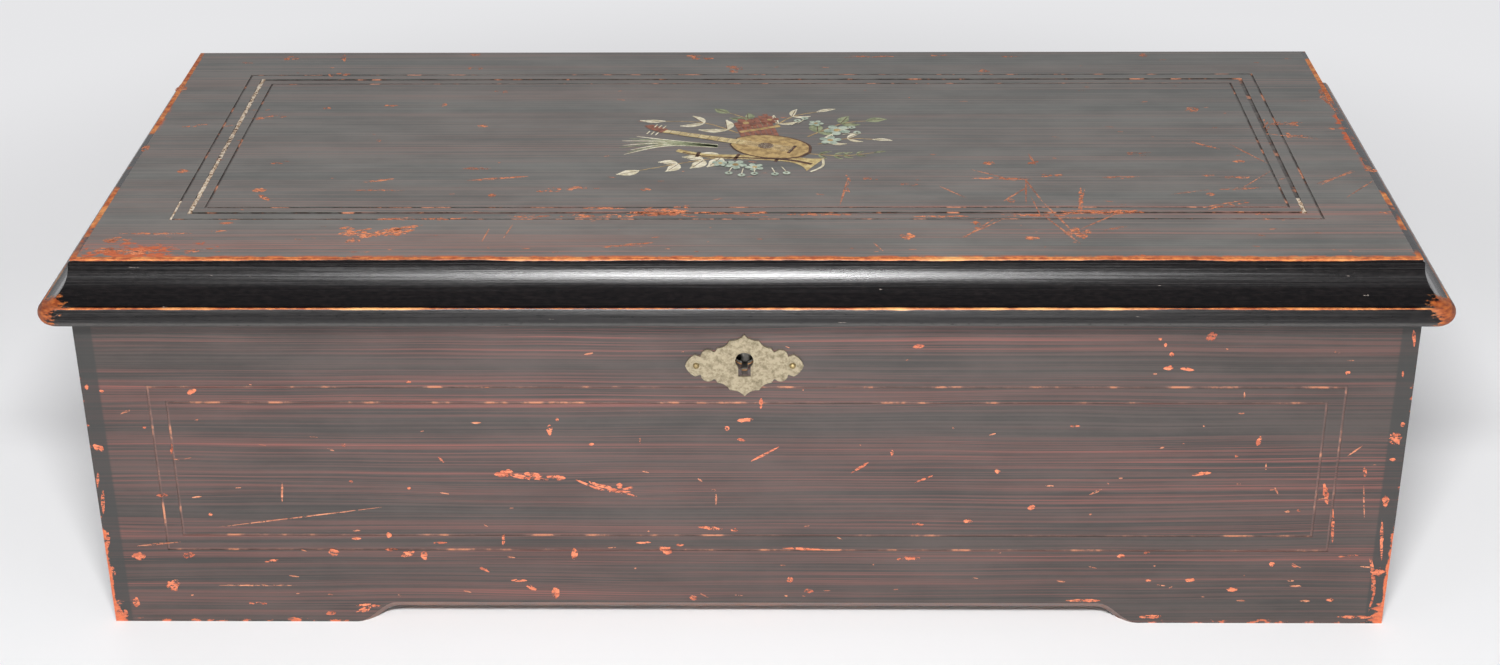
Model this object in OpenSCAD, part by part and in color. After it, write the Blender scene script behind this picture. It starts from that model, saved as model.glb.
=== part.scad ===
// Wind-up music box: a lever-wound cylinder movement in a lidded wooden case.
// Axes: X to the right, Y to the back, Z up. The origin lies on the floor, mid-plan.

/* [Case] */
// Width of the case body
case_w = 490; // [486:1:500]
// Depth of the case body, front face to back face
case_d = 218; // [216:1:226]
// Height of the case body, floor to rim
case_h = 131.4; // [131:0.2:136]
// Thickness of the case walls
wall_t = 11; // [10:0.5:11.5]
// Thickness of the bottom board
board_t = 10; // [8:0.5:10]
// Thickness of the two inner partitions
partition_t = 8; // [7:0.5:8]
// Left face of the left partition
left_partition_x = -166; // [-168:1:-165]
// Left face of the right partition
right_partition_x = 170; // [169:1:172]
// Height of the ledges that carry the glazed cover, below the rim
ledge_drop = 23.4; // [22:0.2:24]

/* [Feet] */
// Half length of the front and back cut-outs at the floor
cut_half_x = 151; // [120:1:170]
// Half length of the side cut-outs at the floor
cut_half_y = 52; // [40:1:60]
// Height of the cut-outs at the outer faces
cut_h = 9; // [7:0.5:9]
// Depth of the bevel along the top of the cut-outs
cut_bevel = 4; // [2:0.5:4]
// Length of the ogee at each end of a cut-out
ogee_run = 16; // [10:1:24]

/* [Incised lines] */
// Width of an incised line
line_w = 0.9; // [0.6:0.1:1.2]
// Depth of an incised line
line_depth = 0.5; // [0.3:0.1:0.8]
// Half width of the outer rectangle on the front
front_line_half = 221; // [200:1:230]
// Bottom of the outer rectangle on the front
front_line_low = 32.4; // [25:0.1:40]
// Top of the outer rectangle on the front
front_line_high = 103.5; // [90:0.1:106]
// Distance between the two rectangles on the front
front_line_gap = 6.5; // [5:0.1:8]
// Half width of the outer rectangle on the lid
lid_line_half = 215; // [200:1:225]
// Distance from the front face to the outer rectangle on the lid
lid_line_front = 37; // [25:0.5:45]
// Distance from the back face to the outer rectangle on the lid
lid_line_back = 27.5; // [20:0.5:40]
// Distance from one lid rectangle to the next
lid_line_gap = 5.4; // [4:0.1:6]
// Width of the channel for the stringing of the middle rectangle
stringing_w = 1.7; // [1:0.1:2]

/* [Lid] */
// Height of the lid
lid_h = 22.4; // [22:0.1:24]
// Gap between the case rim and the closed lid
lid_gap = 0.2; // [0.1:0.05:0.4]
// Overhang of the lip past the case faces
lip_out = 10.5; // [9:0.5:12]
// Thickness of the top panel
panel_t = 11; // [10:0.5:11]
// Radius of the half-round nose of the lip
nose_r = 4.2; // [3.6:0.1:4.2]
// Inset of the top arris from the case faces
arris_in = 2; // [1:0.1:3]
// Plan radius of the lip corners
lip_corner_r = 8; // [5:0.5:9]

/* [Hinges] */
// Distance of each hinge from the middle
hinge_x = 150; // [120:1:180]
// Width of one hinge
hinge_w = 44; // [40:1:60]
// Length of the hinge leaves on the case
leaf_l = 24; // [22:1:30]
// Length of the hinge leaves on the lid
lid_leaf_l = 21; // [20.5:0.1:22]
// Thickness of the hinge leaves
leaf_t = 1.2; // [1:0.1:1.5]
// Radius of the hinge knuckles
knuckle_r = 2.1; // [2:0.1:2.2]
// Radius of the hinge pins
hinge_pin_r = 0.9; // [0.8:0.1:1]

/* [Lock] */
// Width of the lock case
lock_w = 48; // [46:1:56]
// Height of the lock case
lock_h = 35; // [34:0.5:38]
// Depth of the lock case
lock_d = 9; // [9:0.1:9.6]
// Depth of the lock's mortise in the front panel
mortise_d = 6; // [5:0.5:6]
// Width of the escutcheon
escutcheon_w = 43.4; // [38:0.2:48]
// Thickness of the escutcheon
escutcheon_t = 0.8; // [0.6:0.1:1.2]
// Drop of the keyhole's centre below the top of the front panel
keyhole_drop = 17.1; // [16.4:0.1:18.4]
// Radius of the keyhole in the escutcheon
keyhole_r = 3.35; // [3:0.05:3.6]
// Travel of the lock bolt
bolt_travel = 5; // [4:0.5:5]

/* [Movement] */
// Depth position of the cylinder axis
cyl_y = 27; // [26:0.5:28]
// Height of the cylinder and barrel axes above the bedplate
axis_h = 35; // [34.8:0.1:36]
// Thickness of the bedplate
bed_t = 6; // [5:0.5:6]
// Height of the feet below the bedplate
bed_foot_h = 8; // [6:0.5:8]
// Radius of the pinned cylinder
cyl_r = 25; // [24:0.1:25]
// Left end of the pinned cylinder
cyl_x0 = -78; // [-79:0.5:-76]
// Right end of the pinned cylinder
cyl_x1 = 110; // [108:0.5:110]
// Height of the pins above the cylinder
pin_h = 1.2; // [0.8:0.1:1.2]
// Radius of a pin
pin_r = 0.35; // [0.3:0.05:0.4]
// Radius of the cylinder arbor
arbor_r = 3.5; // [3:0.1:3.8]
// Radial clearance of a running fit
fit = 0.06; // [0.03:0.01:0.08]
// Number of tunes on the cylinder
tunes = 8; // [6:1:8]
// Sideways shift of the cylinder from one tune to the next
tune_step = 0.35; // [0.3:0.01:0.35]

/* [Comb] */
// Number of comb teeth
comb_teeth = 60; // [40:1:64]
// Pitch of the comb teeth
comb_pitch = 3.1; // [3:0.05:3.15]
// Width of the slots between the teeth
comb_slot = 0.6; // [0.4:0.05:0.8]
// Thickness of the teeth
tooth_t = 1.8; // [1.4:0.1:2]
// Gap between the pin circle and the tooth tips
tip_gap = 0.3; // [0.25:0.05:0.5]
// Length of the longest tooth
bass_len = 46; // [40:1:46]
// Length of the shortest tooth
treble_len = 20; // [18:1:30]

/* [Gears] */
// Pressure angle of every gear
pressure_angle = 25; // [24:1:26]
// Share of the tooth pitch left free as backlash
backlash = 0.06; // [0.04:0.01:0.08]
// Module of the barrel wheel and cylinder pinion
barrel_m = 1.25; // [1.25:0.01:1.25]
// Teeth of the barrel wheel
barrel_teeth = 52; // [52:1:52]
// Teeth of the cylinder pinion
pinion_teeth = 12; // [12:1:12]
// Module of the great wheel
great_m = 0.8; // [0.8:0.01:0.8]
// Teeth of the great wheel
great_teeth = 60; // [60:1:60]
// Module of the first governor wheel
first_m = 0.6; // [0.6:0.01:0.6]
// Teeth of the first governor wheel
first_teeth = 48; // [48:1:48]
// Module of the worm wheel
worm_m = 0.7; // [0.7:0.01:0.7]
// Teeth of the worm wheel
worm_teeth = 20; // [20:1:20]
// Pitch radius of the endless screw
worm_r = 3; // [3:0.1:3]

/* [Winding] */
// Radius of the winding arbor
wind_r = 4; // [3.6:0.1:4.2]
// Outer radius of the spring barrel
drum_r = 29; // [27:0.5:29]
// Length of the lever from its hub to the handle
lever_len = 58; // [50:1:58]
// Rest angle of the lever above the horizontal
lever_rest = 20; // [15:1:25]
// Teeth of the ratchet wheel
ratchet_teeth = 24; // [18:1:30]
// Tip radius of the ratchet wheel
ratchet_r = 14; // [13:0.1:14.2]

/* [Cover] */
// Thickness of the glazed cover's frame
cover_t = 7; // [6:0.5:7]
// Width of the cover's frame
cover_rail = 14; // [12:0.5:18]
// Thickness of the glass
glass_t = 2.4; // [2:0.1:3]

/* [Hidden] */
$fn = 48;

// Case planes. The hinge knuckles are the rearmost part and the lip the foremost.
half_w = case_w / 2;
hinge_out = knuckle_r + 0.2;
overall_d = lip_out + case_d + hinge_out + knuckle_r;
front_y = lip_out - overall_d / 2;
back_y = front_y + case_d;
in_x = half_w - wall_t;
in_front = front_y + wall_t;
in_back = back_y - wall_t;
mid_y = (in_front + in_back) / 2;
board_z = 20 - board_t;
floor_z = board_z + board_t;
ledge_z = case_h - ledge_drop;
lid_z = case_h + lid_gap;
lid_top = lid_z + lid_h;
panel_z = lid_top - panel_t;
lip_y = front_y - lip_out;
hinge_y = back_y + hinge_out;
hinge_z = case_h + lid_gap / 2;

// Movement heights and axes
bed_z = floor_z + bed_foot_h;
bed_top = bed_z + bed_t;
axis_z = bed_top + axis_h;
barrel_y = cyl_y - barrel_m * (barrel_teeth + pinion_teeth) / 2;
pin_top_r = cyl_r + pin_h;

// Governor axes: the first wheel lies behind and below the great wheel
first_angle = -30;
first_cd = great_m * (great_teeth + pinion_teeth) / 2;
first_y = cyl_y + first_cd * cos(first_angle);
first_z = axis_z + first_cd * sin(first_angle);
second_angle = 60;
second_cd = first_m * (first_teeth + pinion_teeth) / 2;
second_y = first_y + second_cd * cos(second_angle);
second_z = first_z + second_cd * sin(second_angle);
worm_x = 147.5;
worm_y = second_y + worm_m * worm_teeth / 2 + worm_r;
worm_lead = PI * worm_m;

// Tune change: the snail turns on a stud on the great wheel
great_x = 118;
great_t = 3;
snail_offset = 14.5;
stud_face_x = cyl_x1 + 2.5;
snail_r = 7.6;
star_r = 9;
stud_ring = 6;

// ---- Plain solids -------------------------------------------------------------

module box(x0, x1, y0, y1, z0, z1) {
    translate([x0, y0, z0])
        cube([x1 - x0, y1 - y0, z1 - z0]);
}

module rod_x(r, x0, x1, y, z) {
    translate([x0, y, z])
        rotate([0, 90, 0])
            cylinder(r = r, h = x1 - x0);
}

module rod_y(r, x, y0, y1, z) {
    translate([x, y1, z])
        rotate([90, 0, 0])
            cylinder(r = r, h = y1 - y0);
}

module rod_z(r, x, y, z0, z1) {
    translate([x, y, z0])
        cylinder(r = r, h = z1 - z0);
}

// Extrudes a drawing in the Y-Z plane from x0 to x1
module slab_x(x0, x1) {
    translate([x0, 0, 0])
        rotate([90, 0, 90])
            linear_extrude(x1 - x0)
                children();
}

// A plate with round vertical corners
module round_plate(x0, x1, y0, y1, z0, z1, r) {
    translate([0, 0, z0])
        linear_extrude(z1 - z0)
            union() {
                translate([x0 + r, y0])
                    square([x1 - x0 - 2 * r, y1 - y0]);
                translate([x0, y0 + r])
                    square([x1 - x0, y1 - y0 - 2 * r]);
                for (x = [x0 + r, x1 - r], y = [y0 + r, y1 - r])
                    translate([x, y])
                        circle(r);
            }
}

// A rectangular ring of width w between z0 and z1
module ring_frame(x0, x1, y0, y1, z0, z1, w) {
    difference() {
        box(x0, x1, y0, y1, z0, z1);
        box(x0 + w, x1 - w, y0 + w, y1 - w, z0 - 1, z1 + 1);
    }
}

// Points of an arc about (cx, cy)
function arc(cx, cy, r, a0, a1, n) =
    [for (i = [0 : n]) [cx + r * cos(a0 + (a1 - a0) * i / n), cy + r * sin(a0 + (a1 - a0) * i / n)]];

// Points from p to q, bowed sideways by sag in the middle
function bow(p, q, sag, n) =
    let (d = q - p, side = [-d[1], d[0]] / norm(d))
    [for (i = [0 : n]) p + d * i / n + side * sag * 4 * (i / n) * (1 - i / n)];

function polar(r, a) = [r * cos(a), r * sin(a)];

// ---- Involute gears -----------------------------------------------------------

// Involute function, in degrees
function involute(a) = (tan(a) * 180 / PI) - a;

// Half the angle that a tooth fills at radius r
function tooth_half(m, z, r) =
    let (pitch_r = m * z / 2, base_r = pitch_r * cos(pressure_angle), rr = max(r, base_r))
    90 / z * (1 - 2 * backlash) + involute(pressure_angle) - involute(acos(base_r / rr));

// The radii at which a flank is drawn, from root to tip
function flank_radii(m, z) =
    let (pitch_r = m * z / 2, base_r = pitch_r * cos(pressure_angle), root_r = pitch_r - 1.2 * m)
    [root_r, max(base_r, root_r + 0.2 * m), pitch_r + 0.1 * m, pitch_r + 0.9 * m];

function gear_points(m, z) =
    [for (k = [0 : z - 1], side = [-1, 1], i = [0 : 3])
        let (r = flank_radii(m, z)[side < 0 ? i : 3 - i])
        polar(r, 360 * k / z + side * tooth_half(m, z, r))];

// A wheel in the Y-Z plane about (y, z), with one tooth centred on the direction a
module gear_x(m, teeth, a, x0, x1, y, z) {
    slab_x(x0, x1)
        translate([y, z])
            rotate(a)
                polygon(gear_points(m, teeth));
}

// ---- Case ---------------------------------------------------------------------

function cut_curve(half) =
    let (n = 8, rise = [for (i = [0 : n]) [ogee_run * i / n, cut_h * (1 - cos(180 * i / n)) / 2]])
    concat(
        [for (i = [0 : n]) [rise[i][0] - half, rise[i][1]]],
        [for (i = [n : -1 : 0]) [half - rise[i][0], rise[i][1]]]);

// Outline of a cut-out: a closed drawing whose height is scaled by k, then moved by lift
function cut_outline(half, k, lift) =
    concat(
        [[-half, -12]],
        [for (p = cut_curve(half)) [p[0], p[1] * k + lift]],
        [[half, -12]]);

// Cuts a bevelled arch at the foot of a panel whose outer face is the plane y = 0
module foot_cut(half) {
    rotate([90, 0, 0])
        linear_extrude(4 * wall_t, center = true)
            polygon(cut_outline(half, 1, -cut_bevel));
    rotate([45, 0, 0])
        linear_extrude(6 * wall_t, center = true)
            polygon(cut_outline(half, 1 / sqrt(2), 0));
}

// Screw places on one leaf, measured from the hinge axis (x, distance)
hinge_screw_places = [[-15, 9], [0, 17], [15, 9]];
// Lock screws through the ears of the lock case
lock_ear_x = lock_w / 2 + 4.5;
lock_z0 = case_h - 0.2 - lock_h;
keyhole_z = case_h - keyhole_drop;
lock_front = in_front - mortise_d + 0.15;
lock_back = lock_front + lock_d;
link_half = 20;
link_t = 1.4;

// A rectangular line sunk into the front face
module front_line(half, z0, z1) {
    translate([0, front_y + line_depth, 0])
        rotate([90, 0, 0])
            linear_extrude(line_depth + 1)
                difference() {
                    translate([-half, z0])
                        square([2 * half, z1 - z0]);
                    translate([line_w - half, z0 + line_w])
                        square([2 * (half - line_w), z1 - z0 - 2 * line_w]);
                }
}

// The keyhole of radius r with a slot of width w, cut from y0 to y1
module keyhole(r, w, y0, y1) {
    rod_y(r, 0, y0, y1, keyhole_z);
    box(-w / 2, w / 2, y0, y1, keyhole_z - 6.5, keyhole_z);
}

module front_panel() {
    color([0.24, 0.19, 0.17])
        difference() {
            box(-half_w, half_w, front_y, in_front, 0, case_h);
            translate([0, front_y, 0])
                foot_cut(cut_half_x);
            front_line(front_line_half, front_line_low, front_line_high);
            front_line(
                front_line_half - front_line_gap,
                front_line_low + front_line_gap,
                front_line_high - front_line_gap);
            keyhole(4.2, 2.2, front_y - 1, in_front + 1);
            box(-lock_w / 2 - 0.15, lock_w / 2 + 0.15,
                in_front - mortise_d, in_front + 1, lock_z0 - 0.15, case_h + 1);
            for (x = [-lock_ear_x, lock_ear_x])
                rod_y(1.3, x, in_front - 6, in_front + 1, keyhole_z - 6);
            for (s = [-1, 1])
                rod_y(0.8, s * escutcheon_w * 0.407, front_y - 1, front_y + 5, keyhole_z - 2);
        }
}

module back_panel() {
    color([0.2, 0.16, 0.14])
        difference() {
            box(-half_w, half_w, in_back, back_y, 0, case_h);
            translate([0, back_y, 0])
                rotate([0, 0, 180])
                    foot_cut(cut_half_x);
            for (s = [-1, 1], p = hinge_screw_places)
                rod_y(1.5, s * hinge_x + p[0], back_y - 9, back_y + 1, hinge_z - p[1]);
        }
}

// An end panel; side is -1 on the left and 1 on the right
module end_panel(side) {
    difference() {
        translate([side * (half_w - wall_t / 2) - wall_t / 2, in_front, 0])
            cube([wall_t, in_back - in_front, case_h]);
        translate([side * half_w, mid_y, 0])
            rotate([0, 0, side * 90])
                foot_cut(cut_half_y);
    }
}

module left_end() {
    color([0.24, 0.19, 0.17])
        end_panel(-1);
}

module right_end() {
    color([0.24, 0.19, 0.17])
        end_panel(1);
}

// Places of the bolts that hold the bedplate down
bed_x0 = -154;
bed_x1 = 166;
bed_y0 = -80;
bed_y1 = 92;
bed_bolts = [
    [bed_x0 + 10, bed_y0 + 12],
    [bed_x0 + 10, bed_y1 - 10],
    [bed_x1 - 8, bed_y0 + 12],
    [bed_x1 - 48, bed_y1 - 10]
];

module bottom_board() {
    color([0.62, 0.47, 0.3])
        difference() {
            box(-in_x, in_x, in_front, in_back, board_z, floor_z);
            for (p = bed_bolts)
                rod_z(2.7, p[0], p[1], board_z - 1, floor_z + 1);
        }
}

// The shoulder screw that carries the holding click
click_angle = -62;
click_arm = 22;
click_y = barrel_y + click_arm * cos(click_angle);
click_z = axis_z + click_arm * sin(click_angle);
ratchet_x0 = -197;
ratchet_x1 = -193.5;

// Cover: its pivot pins sit near the back of the partitions
pivot_y = in_back - 5.5;
pivot_z = ledge_z + 0.4 + cover_t / 2;
pivot_r = 1.5;
partition_top = ledge_z + 8;

module partition(x0) {
    difference() {
        box(x0, x0 + partition_t, in_front, in_back, floor_z, partition_top);
        rod_x(pivot_r, x0 - 1, x0 + partition_t + 1, pivot_y, pivot_z);
    }
}

module left_partition() {
    color([0.3, 0.2, 0.13])
        difference() {
            partition(left_partition_x);
            rod_x(wind_r + 0.6, left_partition_x - 1, left_partition_x + partition_t + 1, barrel_y, axis_z);
            rod_x(1.5, left_partition_x - 1, left_partition_x + 6, click_y, click_z);
        }
}

// Pivots of the two control levers
lever_x = right_partition_x - 22;
stop_y = -62;
change_y = -34;
stop_lever_z = axis_z - 6;
change_lever_z = axis_z - 11;
lever_t = 2.5;
controls = [[stop_y, stop_lever_z], [change_y, change_lever_z]];

module right_partition() {
    color([0.3, 0.2, 0.13])
        difference() {
            partition(right_partition_x);
            for (c = controls)
                box(right_partition_x - 1, right_partition_x + partition_t + 1, c[0] - 6, c[0] + 10,
                    c[1] - 1.5, c[1] + lever_t + 1.5);
        }
}

// Two strips along the front and back walls; the front one is notched for the lock
module cover_ledges() {
    ledge_x0 = left_partition_x + partition_t;
    color([0.3, 0.2, 0.13])
        difference() {
            union() {
                box(ledge_x0, right_partition_x, in_front, in_front + 10, ledge_z - 10, ledge_z);
                box(ledge_x0, right_partition_x, in_back - 8, in_back, ledge_z - 10, ledge_z);
            }
            box(-lock_w / 2 - 10, lock_w / 2 + 10, in_front - 1, in_front + 4, ledge_z - 14, ledge_z + 1);
        }
}

// ---- Escutcheon and lock --------------------------------------------------------

// One quarter of the escutcheon's outline, from its top cusp to its side tip
function escutcheon_quarter() =
    concat(
        bow([0, 12.6], [5.4, 10.1], -0.8, 5),
        bow([5.4, 10.1], [9.9, 7], -0.8, 5),
        [[10.7, 5.6]],
        arc(13.3, 3.9, 2.6, 140, 0, 7),
        [[16.2, 3.7]],
        bow([18.1, 4.4], [21.7, 0], 0.6, 4));

// Reverses a list of points and multiplies them by (sx, sy)
function flip(points, sx, sy) =
    [for (i = [len(points) - 1 : -1 : 0]) [points[i][0] * sx, points[i][1] * sy]];

function scaled(points, sx, sy) = [for (p = points) [p[0] * sx, p[1] * sy]];

module escutcheon() {
    k = escutcheon_w / 43.4;
    quarter = escutcheon_quarter();
    color([0.82, 0.74, 0.55])
        difference() {
            translate([0, front_y, keyhole_z - 2])
                rotate([90, 0, 0])
                    linear_extrude(escutcheon_t)
                        scale(k)
                            polygon(concat(
                                quarter,
                                flip(quarter, 1, -1),
                                scaled(quarter, -1, -1),
                                flip(quarter, -1, 1)));
            keyhole(keyhole_r, 4.6, front_y - 2, front_y + 1);
            for (s = [-1, 1])
                rod_y(0.8, s * escutcheon_w * 0.407, front_y - 2, front_y + 1, keyhole_z - 2);
        }
}

// Two round-headed brass pins
module escutcheon_pins() {
    color([0.75, 0.62, 0.38])
        for (s = [-1, 1])
            translate([s * escutcheon_w * 0.407, front_y - escutcheon_t, keyhole_z - 2])
                rotate([90, 0, 0])
                    rotate_extrude()
                        polygon([
                            [0, -5], [0.78, -5], [0.78, 0], [1.2, 0], [1.1, 0.35], [0.7, 0.6], [0, 0.7]
                        ]);
}

// The hooks of the link plate, and the noses of the bolt that catch them
hook_x = [-11.5, 8.5];
hook_w = 7;
hook_y0 = lock_front + 2.8;
hook_y1 = hook_y0 + 1.8;
notch_z0 = case_h - 6.4;
notch_z1 = notch_z0 + 3.6;
nose_l = 4.8;
bolt_y0 = hook_y1 + 0.3;

module lock_case() {
    wall = 1.2;
    z1 = lock_z0 + lock_h;
    color([0.7, 0.6, 0.38])
        difference() {
            union() {
                box(-lock_w / 2, lock_w / 2, lock_front, lock_back, lock_z0, z1);
                box(-lock_ear_x - 4, lock_ear_x + 4, in_front, in_front + 1.5,
                    keyhole_z - 12, keyhole_z);
            }
            box(-lock_w / 2 + wall, lock_w / 2 - wall, lock_front + wall, lock_back - wall,
                lock_z0 + wall, z1 - wall);
            for (x = hook_x)
                box(x - 0.8, x + hook_w + 0.8, hook_y0 - 0.9, hook_y1 + 0.6, z1 - 3, z1 + 1);
            keyhole(4, 2.2, lock_front - 1, lock_front + 3);
            for (x = [-lock_ear_x, lock_ear_x])
                rod_y(1.3, x, in_front - 1, in_front + 3, keyhole_z - 6);
        }
}

module lock_bolt() {
    color([0.55, 0.55, 0.55])
        union() {
            difference() {
                box(-17, 11.2, bolt_y0, bolt_y0 + 1.5, keyhole_z + 4, notch_z1 - 0.2);
                rod_y(3.6, 0, bolt_y0 - 1, bolt_y0 + 3, keyhole_z + 4);
            }
            for (x = hook_x)
                box(x - nose_l - 0.7, x - 0.7, hook_y0, bolt_y0 + 0.5, notch_z0 + 0.2, notch_z1 - 0.2);
        }
}

// ---- Lid hinges -----------------------------------------------------------------

knuckles = 5;
knuckle_gap = 0.3;
knuckle_w = hinge_w / knuckles;

// Every second knuckle of one hinge, with its tab onto the leaf; up is 1 for the lid and -1 for the case
module hinge_leaf(x, first, up) {
    z_far = hinge_z + up * (up > 0 ? lid_leaf_l : leaf_l);
    z_near = hinge_z + up * (knuckle_r + 0.4);
    difference() {
        union() {
            box(x - hinge_w / 2, x + hinge_w / 2,
                back_y, back_y + leaf_t, min(z_far, z_near), max(z_far, z_near));
            for (i = [first : 2 : knuckles - 1]) {
                x0 = x - hinge_w / 2 + i * knuckle_w + knuckle_gap / 2;
                x1 = x0 + knuckle_w - knuckle_gap;
                box(x0, x1, back_y, back_y + leaf_t, min(hinge_z, z_near), max(hinge_z, z_near));
                rod_x(knuckle_r, x0, x1, hinge_y, hinge_z);
            }
        }
        rod_x(hinge_pin_r + 0.05, x - hinge_w, x + hinge_w, hinge_y, hinge_z);
        for (p = hinge_screw_places)
            rod_y(1.6, x + p[0], back_y - 1, back_y + leaf_t + 1, hinge_z + up * p[1]);
    }
}

module case_hinge_leaves() {
    color([0.62, 0.52, 0.33])
        for (s = [-1, 1])
            hinge_leaf(s * hinge_x, 0, -1);
}

// The pins of the two lid hinges and of the glazed cover
module hinge_pins() {
    color([0.6, 0.6, 0.58]) {
        for (s = [-1, 1])
            rod_x(hinge_pin_r, s * hinge_x - hinge_w / 2, s * hinge_x + hinge_w / 2, hinge_y, hinge_z);
        rod_x(pivot_r, left_partition_x + 1, left_partition_x + partition_t + 8, pivot_y, pivot_z);
        rod_x(pivot_r, right_partition_x - 8, right_partition_x + partition_t - 1, pivot_y, pivot_z);
    }
}

// A slotted screw along +Z: its head sits on z = 0 and its shank hangs below
module screw(shank_r, shank_l, head_r, head_h) {
    difference() {
        union() {
            translate([0, 0, -shank_l])
                cylinder(r = shank_r, h = shank_l + 0.1);
            cylinder(r = head_r, h = head_h);
        }
        translate([-head_r - 1, -head_r / 8, head_h * 0.6])
            cube([2 * head_r + 2, head_r / 4, head_h]);
    }
}

// Screws of the case hinge leaves and of the lock, and the shoulder screw of the click
module case_screws() {
    color([0.66, 0.58, 0.4]) {
        for (s = [-1, 1], p = hinge_screw_places)
            translate([s * hinge_x + p[0], back_y + leaf_t, hinge_z - p[1]])
                rotate([-90, 0, 0])
                    screw(1.4, 9, 2.9, 0.9);
        for (x = [-lock_ear_x, lock_ear_x])
            translate([x, in_front + 1.5, keyhole_z - 6])
                rotate([-90, 0, 0])
                    screw(1.2, 7, 2.4, 0.9);
        rod_x(1.5, left_partition_x - 0.5, left_partition_x + 6, click_y, click_z);
        rod_x(3.6, ratchet_x1 + 0.6, left_partition_x, click_y, click_z);
        rod_x(2, ratchet_x0 - 0.4, ratchet_x1 + 0.7, click_y, click_z);
        rod_x(3.2, ratchet_x0 - 1.3, ratchet_x0 - 0.3, click_y, click_z);
    }
}

// ---- Bedplate and bridges ---------------------------------------------------------

bridge_flange = 9;
flange_h = 4.5;
// Bridges: left face, thickness, front and back edge
barrel_bridge_x = -156;
middle_bridge_x = -96;
cylinder_bridge_x = 124;
bridge_t = 7;
// Screws of the bridges: [x, y, height of the seat]
bridge_screws = [
    [barrel_bridge_x + 6 + 4.5, barrel_y - 11, bed_top + flange_h],
    [barrel_bridge_x + 6 + 4.5, barrel_y + 11, bed_top + flange_h],
    [middle_bridge_x + bridge_t + 4.5, barrel_y - 9, bed_top + flange_h],
    [middle_bridge_x + bridge_t + 4.5, cyl_y + 9, bed_top + flange_h],
    [cylinder_bridge_x + bridge_t + 4, cyl_y - 9, bed_top + flange_h],
    [cylinder_bridge_x + bridge_t + 4, cyl_y + 9, bed_top + flange_h]
];
base_screws = [[-70, -59], [100, -59]];
frame_screws = [[136, 86], [141, 47], [153, 47]];

module bedplate() {
    color([0.2, 0.22, 0.2])
        difference() {
            union() {
                round_plate(bed_x0, bed_x1, bed_y0, bed_y1, bed_z, bed_top, 8);
                for (p = bed_bolts)
                    rod_z(8, p[0], p[1], floor_z, bed_z);
            }
            for (p = bed_bolts)
                rod_z(2.7, p[0], p[1], floor_z - 1, bed_top + 1);
            for (p = concat(bridge_screws, base_screws, frame_screws))
                rod_z(1.9, p[0], p[1], bed_z - 1, bed_top + 1);
            for (y = [stop_y, change_y])
                rod_z(2.2, lever_x, y, bed_z - 1, bed_top + 1);
        }
}

// Long bolts from below, with a nut on the bedplate
module bedplate_bolts() {
    color([0.45, 0.42, 0.38])
        for (p = bed_bolts)
            translate([p[0], p[1], 0]) {
                translate([0, 0, board_z - 3])
                    cylinder(r = 5, h = 3);
                translate([0, 0, board_z - 0.5])
                    cylinder(r = 2.5, h = bed_top - board_z + 4);
                translate([0, 0, bed_top])
                    cylinder(r = 4.6, h = 3.2, $fn = 6);
            }
}

// A bridge plate in the Y-Z plane with round bosses about the points of list, and a foot flange
module bridge(x, t, points, boss, hole_r, flange_x) {
    y0 = points[0][0] - boss;
    y1 = points[len(points) - 1][0] + boss;
    difference() {
        union() {
            slab_x(x, x + t)
                union() {
                    translate([y0, bed_top])
                        square([y1 - y0, axis_h]);
                    for (p = points)
                        translate(p)
                            circle(boss);
                }
            box(min(x, flange_x), max(x + t, flange_x), y0, y1, bed_top, bed_top + flange_h);
        }
        for (p = points)
            rod_x(hole_r, x - 1, x + t + 1, p[0], p[1]);
        for (p = bridge_screws)
            rod_z(1.9, p[0], p[1], bed_top - 1, bed_top + flange_h + 1);
    }
}

module barrel_bridge() {
    color([0.78, 0.65, 0.36])
        bridge(barrel_bridge_x, 6, [[barrel_y, axis_z]], 16, wind_r + fit,
            barrel_bridge_x + 6 + bridge_flange);
}

pivot_hole_r = 3;

module middle_bridge() {
    color([0.78, 0.65, 0.36])
        bridge(middle_bridge_x, bridge_t, [[barrel_y, axis_z], [cyl_y, axis_z]], 14,
            pivot_hole_r + fit, middle_bridge_x + bridge_t + bridge_flange);
}

module cylinder_bridge() {
    color([0.78, 0.65, 0.36])
        bridge(cylinder_bridge_x, bridge_t, [[cyl_y, axis_z]], 14, pivot_hole_r + fit,
            cylinder_bridge_x + bridge_t + bridge_flange);
}

// Bridge, comb base and governor screws, and the posts of the two control levers
module movement_screws() {
    color([0.25, 0.27, 0.36]) {
        for (p = bridge_screws)
            translate(p)
                screw(1.8, flange_h + bed_t - 0.5, 3.4, 2.2);
        for (p = frame_screws)
            translate([p[0], p[1], bed_top + 4])
                screw(1.8, 4 + bed_t - 0.5, 3, 2);
        for (p = base_screws)
            translate([p[0], p[1], bed_z])
                mirror([0, 0, 1])
                    screw(1.8, bed_t + 12, 3.2, 2);
        for (c = controls) {
            rod_z(2.1, lever_x, c[0], bed_z + 0.5, bed_top + 0.5);
            rod_z(5, lever_x, c[0], bed_top, c[1] - 0.3);
            rod_z(2.5, lever_x, c[0], c[1] - 0.4, c[1] + lever_t + 0.4);
            rod_z(4.2, lever_x, c[0], c[1] + lever_t + 0.3, c[1] + lever_t + 2);
        }
    }
}

// ---- Comb ---------------------------------------------------------------------------

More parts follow.
